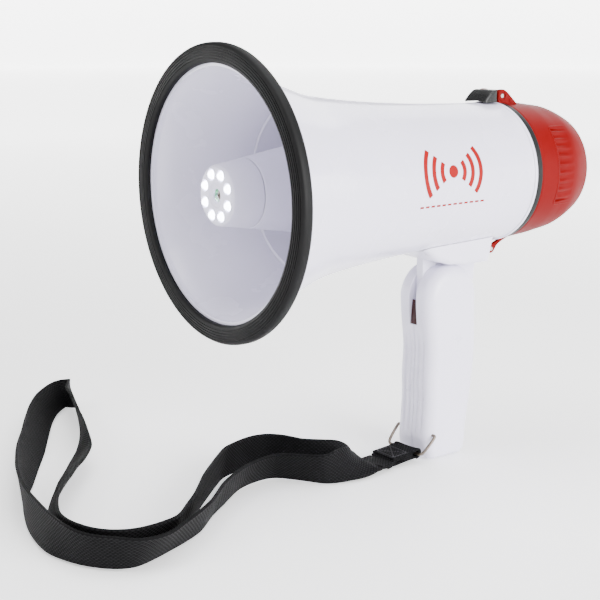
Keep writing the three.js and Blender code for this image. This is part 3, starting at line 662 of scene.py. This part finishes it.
def strap_tab():
    """The sewn end: webbing folded round the bail's bar, with the loop's ends between its plies."""
    bar_y, bar_z = 138, 6
    reach = 2.2
    side = [(118.8, 6.0), (122, 6.3), (127, 6.7), (132, 7.2), (135.6, bar_z + reach - 0.3)]
    for k in range(13):
        angle = math.radians(96 - 192 * k / 12)
        side.append((bar_y + reach * math.cos(angle), bar_z + reach * math.sin(angle)))
    side += [(135.4, bar_z - reach), (131, 3.5), (126, 3.0), (119.4, 2.2)]
    line = spline([Vector((2 * MM, (y - HALF_LENGTH) * MM, z * MM)) for y, z in side], 4)
    rows = []
    for i, point in enumerate(line):
        wobble = 0.35 * MM * noise.noise(Vector((i * 0.09, 2.1, 0)))
        rows.append((point + Vector((wobble, 0, 0)), Vector((1, 0, 0))))
    fold = add_piece("strap_fold", ribbon(rows, 19.4 * MM, 1.1 * MM), "strap", WEBBING,
                     ("strap_tab",), sharp=60)
    inner = []
    for low, high in ((1.7, 4.5), (4.1, 5.7)):
        ply = []
        for k in range(18):
            share = min(1.0, k / 6)
            height = low + (high - low) * share * share * (3 - 2 * share) + 0.03 * k
            spot = Vector(((2 + 0.3 * math.sin(k * 0.6)) * MM,
                           (116.2 + k - HALF_LENGTH) * MM, height * MM))
            ply.append((spot, Vector((1, 0, 0))))
        inner.append(ribbon(ply, 19.6 * MM, 1.1 * MM))
    filler = add_piece("strap_ends", joined(*inner), "strap", WEBBING, (), sharp=60)
    lines = [((-6, 120.5), (-6, 131)), ((-6, 131), (10, 131)), ((10, 131), (10, 120.5)),
             ((10, 120.5), (-6, 120.5)), ((-6, 120.5), (10, 131)), ((-6, 131), (10, 120.5))]
    thread = []
    for (x0, y0), (x1, y1) in lines:
        stitches = max(2, round(math.dist((x0, y0), (x1, y1)) / 2.2))
        for k in range(stitches):
            ends = []
            for t, lift in ((k + 0.12, 0.0), (k + 0.45, 0.22), (k + 0.8, 0.0)):
                share = t / stitches
                y = y0 + (y1 - y0) * share
                top = 6.62 + 0.09 * (y - 120) + lift
                ends.append(Vector(((x0 + (x1 - x0) * share) * MM, (y - HALF_LENGTH) * MM,
                                    top * MM)))
            thread.append(sweep(ends, 0.24 * MM, 6))
    stitching = add_piece("strap_stitching", joined(*thread), "strap", STITCH, ())
    return [fold, filler, stitching]


strap()

# ---- horn and barrel

HORN = [
    (69.4, 5.6), (66.2, 14), (62.7, 24), (57.8, 38), (52, 56), (48.2, 80), (45.3, 110), (43, 150),
    (42, 190),
]
WALL = 1.8
LAMP_CIRCLE = 11.7


def flowing(points, per_span=6):
    """The same [radius, y] profile with smooth spans between its points."""
    return [(p.x, p.y) for p in spline([Vector((r, y, 0)) for r, y in points], per_span)]


BARREL_PROFILE = flowing(HORN, 8)


def barrel_radius(y):
    for (r0, y0), (r1, y1) in zip(BARREL_PROFILE, BARREL_PROFILE[1:]):
        if y0 <= y <= y1:
            return r0 + (r1 - r0) * (y - y0) / (y1 - y0)
    return HORN[-1][0]


def horn_shell():
    lip = eased([(41.95, 198.9), (42.1, 199.4), (42.75, 199.7), (42.8, 201.4), (42.2, 202.1),
                 (40, 202)], 0.3, 3, False)
    inside = [(r - WALL, y) for r, y in reversed(BARREL_PROFILE)]
    flange = [(67.6, 3.4), (76, 3.4), (76, 5.4)]
    mesh = lathe(flange + BARREL_PROFILE + lip + inside)
    add_piece("horn_and_barrel", mesh, "housing", SHELL, ("horn_shell",), sharp=40)


def rim_bumper():
    front = [(69.3, 1.5), (69.5, 1.0), (70.1, 0.55), (70.8, 0.3)]
    for r in (71.9, 73.4, 74.9, 76.4, 77.7):
        level = 0.1 if r < 74 else 0.1 + (r - 74) * 0.08
        front += [(r - 0.42, level), (r - 0.3, level + 0.34), (r + 0.3, level + 0.34),
                  (r + 0.42, level)]
    front += [(78.6, 0.55), (79.4, 1.1), (79.85, 1.9), (80, 2.9)]
    rear = [(80, 5.2), (79.7, 6.2), (79.1, 6.9), (78.2, 7.3), (76, 7.6), (72, 7.6), (70.4, 7.5),
            (70, 7.2)]
    back = eased(rear, 0.6, 3, False)
    inner = [(70, 5.8), (76.3, 5.75), (76.3, 3.1), (69.3, 3.1)]
    mesh = lathe(front + back + inner, 256)
    add_piece("rim_guard", mesh, "housing", RUBBER, ("rim_bumper",), sharp=35)


def seal_ring():
    profile = eased([(38, 202.05), (41.9, 202.05), (42.35, 202.5), (42.35, 205.9), (41.9, 206.4),
                     (38, 206.4)], 0.3, 3)
    add_piece("seal_gasket", lathe(profile), "housing", SEAL, ("seal_ring",))


def bulkhead():
    front = flowing([(49.1, 59), (48.3, 63), (44, 76), (36, 88), (24, 95), (12.2, 97)], 8)
    rear = flowing([(12.2, 95), (23, 93), (34.5, 86), (42, 75), (47.2, 59)], 8)
    add_piece("bell_bottom", lathe(front + rear), "housing", BELL, ("horn_bulkhead",), sharp=40)


def light_unit():
    cone = [(1.9, 21.3), (18.9, 21.3), (19.25, 21.6)]
    cone += flowing([(19.4, 22.4), (20.9, 32), (23.7, 50), (26.3, 76)])
    cone += [(26.1, 76.5), (24.9, 76.5)] + flowing([(24.7, 76), (22.1, 50), (17.8, 23.3)])
    cone += [(4.2, 23.3), (4.2, 31), (1.9, 31)]
    add_piece("reflector", lathe(cone, 128), "housing", BELL, ("reflector_cone",))
    cup = eased([(3.6, 2.6), (6.2, 2.6), (6.8, 2.2), (14.9, 2.2), (16.4, 3.4), (19.05, 20.9),
                 (17.5, 20.9), (15, 4.2), (3.6, 4.2)], 0.7, 4)
    angles = [(i + 0.5) * math.pi / 4 for i in range(8)]
    spots = [(LAMP_CIRCLE * math.cos(a), LAMP_CIRCLE * math.sin(a)) for a in angles]
    tools = [lathe([(0, 1), (3.35, 1), (3.35, 2.25), (2.75, 2.75), (2.75, 6), (0, 6)], 32, x, z)
             for x, z in spots]
    cup_mesh = cut(lathe(cup, 128), *tools)
    add_piece("light_cover", cup_mesh, "housing", BELL, ("light_cap",), sharp=30)
    dome = [(2.35 * math.sin(turn), 0.55 + 2.4 * (1 - math.cos(turn)))
            for turn in quarter_turns(8)]
    dome += [(2.35, 6.9), (2.6, 7.0), (2.6, 7.7), (0, 7.7)]
    for i, (x, z) in enumerate(spots):
        add_piece(f"lamp_{i + 1}", lathe(dome, 32, x, z), "housing", LAMP, (f"led_{i + 1}",))
    head = [(0, 4.45), (1.6, 4.5), (2.5, 4.8), (2.95, 5.3), (2.95, 6.6), (1.6, 6.6), (1.6, 29),
            (0, 29)]
    cross = [box_mesh((-x, x), (4, 5.5), (-z, z)) for x, z in ((0.27, 1.8), (1.8, 0.27))]
    screw = cut(lathe(head, 48), *cross)
    add_piece("light_screw", screw, "housing", SCREW_GREY, ("cone_screw",))


# ---- rear cap

CAP = [
    (42.1, 206.8), (41.6, 214), (40.95, 223), (39.85, 231), (38.6, 240), (37.2, 244.8),
    (35.6, 249), (33.4, 254), (32.2, 256.3), (31, 257.5), (29.6, 258),
]
CAP_INSIDE = [(39.6, 214), (38.9, 223), (37.8, 231), (36.5, 239.5), (33.8, 247.2),
              (30.2, 251.4), (24, 252)]
MIC = (0, 11)
KNOB = (0, -14)
SWITCH = (15, -9)
GRIP_START, GRIP_END = 222.6, 237
GRIP_PITCH = math.radians(7.3)


def grip(angle, y, radius):
    """How far the cap's surface stands in or out at the ribbed grips on its two sides."""
    if radius < 37.4 or not 218 < y < 242:
        return 0
    side = math.asin(max(-1.0, min(1.0, math.sin(angle)))) - math.radians(8)
    reach = 4.5 * GRIP_PITCH
    out = 0.0
    if abs(side) < reach and y > GRIP_START - 0.01:
        fade = min(1.0, max(0.0, (GRIP_END - y) / (GRIP_END - GRIP_START))) ** 0.8
        wave = 0.5 - 0.5 * math.cos(2 * math.pi * (side + reach) / GRIP_PITCH)
        out -= 1.25 * fade * (1 - wave ** 1.6)
    corner = 2.2
    dx = max(0.0, abs(side) * radius - (reach * 40.6 + 1.6 - corner))
    dy = max(0.0, (221.4 + corner) - y)
    far = math.hypot(dx, dy) - corner
    if dx > 0 or dy > 0:
        line = max(0.0, 1 - (abs(far) / 0.42) ** 2)
        out += 0.32 * line * min(1.0, max(0.0, (240 - y) / 12))
    return out


def rear_cap():
    smooth = flowing(CAP)
    fine = []
    for (r0, y0), (r1, y1) in zip(smooth, smooth[1:]):
        pieces = max(1, round((y1 - y0) / (0.22 if 219 < y0 < 226 else 0.8)))
        fine += [(r0 + (r1 - r0) * k / pieces, y0 + (y1 - y0) * k / pieces) for k in range(pieces)]
    outer = [(40, 206.2), (41.7, 206.2), *fine, smooth[-1]]
    panel = [(0, 254), (26.8, 254), (27.5, 254.6), (27.7, 256.6), (28.4, 257.6)]
    shell = lathe([*panel, *reversed(outer), *CAP_INSIDE, (0, 252)], 720, push=grip)
    tools = [
        rod_y(10.5, 250, 256, *MIC, 96),
        rod_y(3.6, 250, 256, *KNOB, 48),
        box_mesh((SWITCH[0] - 4.6, SWITCH[0] + 4.6), (250, 256),
                 (SWITCH[1] - 2.4, SWITCH[1] + 2.4)),
    ]
    add_piece("cap_shell", cut(shell, *tools), "rear_cap", CAP_RED, ("rear_cap",), sharp=38)


def barrel_room(radius, y0=180, y1=220):
    return rod_y(radius, y0, y1, 0, 0, ROUND)


def pin_hole(y, z):
    return rod_x(PIN_HOLE, -12, 12, y, z)


LATCH = (204, 46)
HINGE = (199, -47.5)
PIN_HOLE = 1.5


def cap_fittings():
    y, z = LATCH
    web = [(y - 3.7, z + 1.6), (y - 2.4, z + 3.3), (y, z + 4), (y + 2.4, z + 3.4), (y + 5, z + 1.6),
           (216.6, 41), (216, 38), (204, 38), (200.4, 43)]
    lugs = []
    for x0, x1, side in ((5.8, 9, 1), (-9, -5.8, -1)):
        plate = prism(web, x0, x1, 0.5, 1.4)
        face = 8.9 * side
        eye = lathe_x([(2.3, 0), (3.3, 0), (3.3, 0.35), (2.9, 0.5), (2.3, 0.35)], face, y, z, side)
        boss = lathe_x([(0, 0), (1.25, 0), (1.25, 0.3), (0.9, 0.45), (0, 0.45)], face,
                       y + 7.2, z - 3.1, side)
        body = cut(plate, barrel_room(42.6, 190, 205.3), pin_hole(y, z))
        lugs += [body, eye, boss]
    add_piece("latch_lugs", joined(*lugs), "rear_cap", CAP_RED, (), sharp=35)
    y, z = HINGE
    arm = [(y - 2.9, z), (y - 2.1, z - 2.1), (y, z - 2.9), (y + 2.1, z - 2.1), (204.5, -45.2),
           (208.5, -43.2), (213, -41.4), (213, -39.6), (206, -39.6), (205.4, -42.6),
           (y + 1.5, z + 2.9), (y - 2, z + 2.1)]
    ears = [cut(prism(arm, x0, x1, 0.4, 1.2), barrel_room(42.4, 190, 205), pin_hole(y, z))
            for x0, x1 in ((5.4, 7.9), (-7.9, -5.4))]
    add_piece("hinge_ears", joined(*ears), "rear_cap", CAP_RED, (), sharp=35)


def cap_controls():
    disc = lathe([(0, 252.4), (10.2, 252.4), (10.2, 255), (9.6, 255.5), (8.9, 255.2), (8.6, 254.7),
                  (0, 254.7)], 96, *MIC)
    slots = []
    for step in range(-3, 4):
        z = step * 2.3
        half = math.sqrt(64 - z * z)
        slots.append(box_mesh((-half, half), (252, 257), (MIC[1] + z - 0.55, MIC[1] + z + 0.55)))
    add_piece("mic_cover", cut(disc, *slots), "rear_cap", BLACK, ("mic_grille",))

    def fluted(angle, y, radius):
        if radius < 6 or y > 261.2 or y < 255:
            return 0
        return -0.75 * (0.5 + 0.5 * math.cos(angle * 18)) ** 1.5

    profile = [(0, 258.3), (3.3, 258.3), (3.3, 254.4), (7.5, 254.4), (7.5, 255)]
    profile += [(7.5 - 0.03 * k, 255 + k * 0.62) for k in range(1, 11)]
    profile += [(6.9, 261.6), (6.3, 262), (5.2, 262), (4.9, 261.7), (0, 261.7)]
    mark = box_mesh((-0.45, 0.45), (261.3, 261.98), (KNOB[1] + 1.4, KNOB[1] + 6.1))
    knob = lathe(profile, 216, *KNOB, push=fluted)
    add_piece("knob", knob, "volume", BLACK, ("volume_knob",))
    add_piece("knob_mark", mark, "volume", SHELL, ())
    x, z = SWITCH
    parts = [box_mesh((x - 4.2, x + 0.2), (251, 256.3), (z - 2, z + 2), 0.4)]
    for k in range(3):
        middle = x - 2 + (k - 1) * 0.95
        parts.append(box_mesh((middle - 0.3, middle + 0.3), (256.1, 257.1), (z - 1.9, z + 1.9),
                              0.12))
    add_piece("light_slider", joined(*parts), "light_switch", BLACK, ("light_switch",))


def latch_lever():
    y, z = LATCH
    outline = [(189.6, 40), (189.6, 43.5), (193.4, 47.2), (196, 49), (198, 49.6), (199.5, 49.6),
               (199.5, 40)]
    wedge = prism(outline, -9, 9, 0.7, 0.7)
    tongue = prism([(198, 42.6), (y - 1, z - 3.6), (y + 1.6, z - 3.2), (y + 3.5, z - 1),
                    (y + 3.5, z + 1), (y + 1.6, z + 3.2), (y - 0.5, z + 3.6), (198, 49.4)],
                   -5.4, 5.4, 0.4, 1.2)
    room = barrel_room(43.2)
    parts = [cut(part, room) for part in (wedge, tongue)]
    add_piece("lever", joined(*parts), "latch", BLACK, ("latch_lever",), sharp=35)


# ---- bracket and handle

HUB_SPOT = (162.5, -73.5)
HUB_RADIUS = 20.5
HALF_WIDTH = 15.5
GRIP_SCREWS = ((168, -112), (161, -139), (159, -163))
SCREW_FACE = -14.2


def bracket():
    face = [(138, -30), (188.2, -30), (186.8, -50), (174, -50), (160, -49), (148, -45.5),
            (138, -38)]
    saddle = prism(grown(face, 3.6), -17, 17, 3.6, 2)
    limits = box_mesh((-30, 30), (191.7, 215), (-70, -20))
    room = rod_x(HUB_RADIUS + 1.1, -20, 20, *HUB_SPOT, 96)
    horn = lathe([(0, 100)] + [(r + 0.25, y) for r, y in BARREL_PROFILE if y >= 104]
                 + [(42.9, 198.5), (43.1, 230), (0, 230)])
    for vert in saddle.vertices:
        y, z = vert.co.y / MM + HALF_LENGTH, vert.co.z / MM - AXIS_HEIGHT
        spread = min(1.0, max(0.0, (z + 50) / 12)) * min(1.0, max(0.3, (y - 125) / 60))
        vert.co.x *= 1 + 0.22 * spread
    saddle = cut(saddle, limits, room, horn)
    y, z = HUB_SPOT
    plate = [(y - 15, -44), (y - 15, z)]
    plate += [around(y, z, 15, math.pi + math.pi * k / 24) for k in range(1, 24)]
    plate += [(y + 15, z), (186, -71.5), (189.6, -66), (191, -44)]
    tongue = prism(plate, -3, 3, 0.4, 1.5)
    hy, hz = HINGE
    lug = prism([(186, hz - 3.2), (hy, hz - 3.2), (hy + 2.3, hz - 2.3), (hy + 3.2, hz),
                 (hy + 2.3, hz + 2.3), (hy, hz + 3.2), (186, hz + 3.2)], -5, 5, 0.4, 0.8)
    parts = [saddle, cut(tongue, rod_x(2.7, -12, 12, *HUB_SPOT)), cut(lug, horn, pin_hole(hy, hz))]
    add_piece("bracket", joined(*parts), "housing", HANDLE, ("handle_bracket",), sharp=28)


def grown(outline, size):
    """An outline moved outwards by size."""
    return inset_outline(anticlockwise(outline), -size)


def bezier_chain(start, *spans):
    """Points on joined cubic curves; a span is its two handles, its end and its count."""
    out = []
    for first, second, end, count in spans:
        for k in range(count):
            t = k / count
            s = 1 - t
            out.append(tuple(s ** 3 * a + 3 * s * s * t * b + 3 * s * t * t * c + t ** 3 * d
                             for a, b, c, d in zip(start, first, second, end)))
        start = end
    return out


def handle_outline():
    y, z = HUB_SPOT
    out = bezier_chain(
        (y - HUB_RADIUS, z), ((142.4, -84), (143.4, -90), (144.4, -99), 14),
        ((145.6, -110), (143.6, -116), (144.2, -127), 16),
        ((144.8, -138), (143.6, -146), (143.2, -158), 16),
        ((143, -167), (145, -173), (150, -173), 14))
    out += [(150, -173), (156, -173), (162, -173)]
    out += bezier_chain(
        (169, -173), ((174, -173), (176, -169), (176.8, -162), 10),
        ((178.4, -146), (183.6, -126), (183.6, -104), 18),
        ((183.4, -94), (183, -84), (y + HUB_RADIUS, z), 8))
    return out + [around(y, z, HUB_RADIUS, math.pi * k / 40) for k in range(40)]


def grip_relief(x, y, z):
    """Depth of the soft upright grooves and the finger swell on the handle's front."""
    if y > 158 or z < -170 or z > -92:
        return 0.0
    ease = min(1.0, (-92 - z) / 10) * min(1.0, max(0.0, (z + 161) / 9)) if z > -161 else 0.0
    groove = 0.0
    for centre in (3.4, 7.6):
        groove += 0.85 * math.exp(-((abs(x) - centre) / 0.75) ** 2)
    scoop = 0.0
    if z < -157:
        scoop = 0.8 * math.exp(-((z + 165) / 5) ** 2) * max(0.0, 1 - (abs(x) / 11) ** 2)
    return groove * ease + scoop


def handle_half(side):
    outline = anticlockwise(handle_outline())
    edge, seam = 7.4, 0.16
    depths = [(seam, 0.45), (seam + 0.3, 0.1), (seam + 0.7, 0)]
    flat_end = HALF_WIDTH - edge
    steps = 22
    depths += [(1.2 + (flat_end - 1.2) * k / steps, 0) for k in range(steps + 1)]
    depths += [(flat_end + edge * math.sin(turn), edge * (1 - math.cos(turn)))
               for turn in quarter_turns(10)[1:]]
    points = []
    for depth, inset in depths:
        for (y0, z0), (y1, z1) in zip(outline, inset_outline(outline, inset)):
            share = 0.58 + 0.42 * min(1.0, max(0.0, (z0 + 171) / 16))
            y, z = y0 + (y1 - y0) * share, z0 + (z1 - z0) * share
            relief = grip_relief(depth, y, z) if y < 152 else 0.0
            points.append(at(side * depth, y + relief, z))
    body = mesh_of(points, layered_faces(len(depths), len(outline)))
    y, z = HUB_SPOT
    tools = [box_mesh((-3.3, 3.3), (130, y), (-89.2, -40)),
             prism(sector(y, z, 33.4), -3.3, 3.3)]
    if side < 0:
        tools += [rod_x(2.9, -20, -12.9, sy, sz, 40) for sy, sz in GRIP_SCREWS]
    hand = "right" if side > 0 else "left"
    add_piece("handle_shell_" + hand, cut(body, *tools), "handle", HANDLE, ("handle_" + hand,),
              sharp=30)


def sector(y, z, radius):
    """The sweep of the bracket's tongue behind the hub."""
    out = [(y - 1, z + 35), (y - 1, z - radius)]
    out += [(y - 1 + radius * math.sin(turn), z - radius * math.cos(turn))
            for turn in quarter_turns(24)[1:]]
    return out + [(y - 1 + radius, z + 35)]


def grip_screws():
    head = [(0, 0), (1.2, 0), (2.1, -0.3), (2.5, -0.8), (2.5, -2), (1.2, -2), (1.2, -18), (0, -18)]
    for number, (y, z) in enumerate(GRIP_SCREWS, 1):
        cross = [box_mesh((SCREW_FACE - 0.2, SCREW_FACE + 1.1), (y - a, y + a), (z - b, z + b))
                 for a, b in ((1.6, 0.35), (0.35, 1.6))]
        add_piece(f"grip_screw_{number}", cut(lathe_x(head, SCREW_FACE, y, z, -1), *cross),
                  "handle", STEEL, (f"handle_screw_{number}",))


def trigger():
    outline = [(143.7, -89), (143.9, -85.5), (144.2, -81), (144.6, -76.5), (144.8, -74.4),
               (145.2, -74.4), (145.4, -76.5), (146.2, -79), (147.2, -81.5), (149.8, -88),
               (153, -93.4), (153, -97), (152.2, -99), (150, -100), (147.8, -99), (147.2, -97),
               (147.2, -89.2)]
    mesh = cut(prism(outline, -2.85, 2.85, 0.12), rod_x(1.5, -5, 5, 150, -97))
    add_piece("talk_trigger", mesh, "trigger", SHADED_TRIGGER_RED, ("trigger",), sharp=35)


def bail():
    side = HALF_WIDTH + 1.4
    half = [(10.4, 147.5, -156.5), (12.4, 147.5, -156.5), (14.4, 147.5, -156.5),
            (side - 0.3, 147.35, -156.7), (side, 146.2, -158.1), (side - 0.7, 140.7, -164),
            (side - 1.7, 138.7, -166.2), (side - 3.4, 138, -167), (8, 138, -167), (3, 138, -167)]
    near = [at(*p) for p in half]
    far = [at(-x, y, z) for x, y, z in reversed(half)]
    mesh = sweep(spline(near + far, 8), 0.9 * MM, 20)
    add_piece("wire_bail", mesh, "bail", WIRE, ("bail",), 50)


def graphic():
    """A plain red sound-wave mark and dashed line on the barrel's side, raised a little."""
    middle_y, middle_z = 133, 8
    marks = [wrapped(circle(middle_y, middle_z, 3.6, 40))]
    for way in (0, 180):
        for radius in (9, 15.5, 22):
            arc = [math.radians(way - 36 + 72 * k / 24) for k in range(25)]
            band = [(radius + 1.5, a) for a in arc] + [(radius - 1.5, a) for a in reversed(arc)]
            outline = [around(middle_y, middle_z, r, a) for r, a in band]
            marks.append(wrapped(eased(outline, 0.9, 3)))
    for k in range(12):
        y = middle_y - 25.5 + k * 4.4
        marks.append(wrapped([(y, -11.2), (y + 2.8, -11.2), (y + 2.8, -10.1), (y, -10.1)]))
    add_piece("barrel_graphic", joined(*marks), "housing", INK_RED, (), 60)


def wrapped(outline, height=0.09):
    """A flat [y, height on the side] outline laid round the barrel's +X side."""
    bm = bmesh.new()
    loop = [bm.verts.new((y, z, 0)) for y, z in outline]
    bm.faces.new(loop)
    bmesh.ops.triangulate(bm, faces=bm.faces)
    bmesh.ops.subdivide_edges(bm, edges=bm.edges, cuts=3, use_grid_fill=True)
    bmesh.ops.triangulate(bm, faces=bm.faces)
    grown_faces = bmesh.ops.extrude_face_region(bm, geom=list(bm.faces))
    for item in grown_faces["geom"]:
        if isinstance(item, bmesh.types.BMVert):
            item.co.z = 1
    for vert in bm.verts:
        y, up, top = vert.co
        radius = barrel_radius(y)
        angle = up / radius
        out = radius + (height if top else -0.3)
        vert.co = at(out * math.cos(angle), y, out * math.sin(angle))
    bmesh.ops.recalc_face_normals(bm, faces=bm.faces)
    mesh = bpy.data.meshes.new("mark")
    bm.to_mesh(mesh)
    bm.free()
    return mesh


# ---- build

horn_shell()
rim_bumper()
seal_ring()
bulkhead()
light_unit()
rear_cap()
cap_fittings()
cap_controls()
latch_lever()
bracket()
handle_half(1)
handle_half(-1)
grip_screws()
trigger()
bail()
graphic()

# ---- the carried-over pieces

CARRIED = (
    (BLACK, "throat_tube battery_tray"),
    (BOARD, "led_board amplifier_board contact_board"),
    (DARK, "driver_housing amplifier_capacitor talk_switch"),
    (FILM, "diaphragm"),
    (BRASS, "voice_coil front_contact_left front_contact_right contact_leaf_upper_right"
            " contact_leaf_lower_left"),
    (CORE, "magnet_plate magnet_yoke"),
    (FERRITE, "magnet output_transformer"),
    (CELL_WRAP, "battery_1 battery_2 battery_3 battery_4"),
    (STEEL, "cap_hinge_pin contact_spring_upper_left contact_spring_lower_right mic_capsule"
            " latch_pin handle_pivot_pin trigger_pin"),
    (ZINC, "volume_potentiometer"),
)
for material, nodes in CARRIED:
    for node in nodes.split():
        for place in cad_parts[node].material_slots:
            place.link = "OBJECT"
            place.material = material

# ---- floor, light, background


def floor():
    """A pale round floor with a low wall, glowing from within so that it stays pale far away:
    painted light, stronger with distance and towards -X and +Y.
    """
    nodes = Nodes("studio_floor")
    spot = nodes.add("NewGeometry").outputs["Position"]
    distance = nodes.add("VectorMath", {0: spot}, operation="LENGTH")
    # Painted light: the glow rises towards the -X, +Y side, like a lit backdrop there.
    side = nodes.add("VectorMath", {0: spot}, operation="DOT_PRODUCT")
    side.inputs[1].default_value = (-0.8, 0.6, 0)
    lit = nodes.remap(side.outputs["Value"], -0.8, 1.2, 0.35, 1.0)
    glow = nodes.remap(distance.outputs["Value"], 0.5, 2.4, 0.95, 4.0)
    nodes.finish(Base_Color=(0.92, 0.92, 0.925, 1), Roughness=0.75,
                 Emission_Color=(1, 1, 1, 1),
                 Emission_Strength=nodes.times(glow, lit))
    reach, wall, corner, below, count = 7.0, 1.2, 0.5, 0.0002, 96
    profile = [(reach * k / 12, 0) for k in range(1, 12)]
    profile += [(reach + corner * math.sin(a), corner * (1 - math.cos(a)))
                for a in quarter_turns(8)] + [(reach + corner, wall)]
    points, faces = [(0, 0, -below)], []
    for radius, height in profile:
        points += [(radius * math.cos(2 * math.pi * k / count),
                    radius * math.sin(2 * math.pi * k / count), height - below)
                   for k in range(count)]
    faces += [(0, 1 + k, 1 + (k + 1) % count) for k in range(count)]
    for ring in range(len(profile) - 1):
        for k in range(count):
            a, b = 1 + ring * count + k, 1 + ring * count + (k + 1) % count
            faces.append((a, a + count, b + count, b))
    mesh = bpy.data.meshes.new("floor")
    mesh.from_pydata(points, [], faces)
    mesh.shade_smooth()
    mesh.materials.append(nodes.material)
    placed("floor", mesh)


def area_light(name, spot, target, size, power):
    data = bpy.data.lights.new(name, "AREA")
    data.shape = "RECTANGLE"
    data.size = data.size_y = size
    data.energy = power
    light = placed(name, data)
    light.location = spot
    way = Vector(spot) - Vector(target)
    light.rotation_mode = "QUATERNION"
    light.rotation_quaternion = way.to_track_quat("Z", "Y")


def lighting():
    middle = (0, 0, 0.15)
    area_light("top_softbox", (0.1, 0.05, 1.6), middle, 1.6, 40)
    area_light("side_key", (1.7, 0.3, 0.6), middle, 1.3, 86)
    area_light("front_fill", (-0.35, -1.4, 1.0), (0, -0.1, 0.18), 0.9, 15)
    area_light("back_rim", (-0.7, 1.3, 0.9), middle, 0.9, 12)
    world = bpy.data.worlds.new("studio")
    world.use_nodes = True
    background = world.node_tree.nodes["Background"]
    background.inputs["Color"].default_value = (1, 1, 1, 1)
    background.inputs["Strength"].default_value = 0.5
    bpy.context.scene.world = world


floor()
lighting()
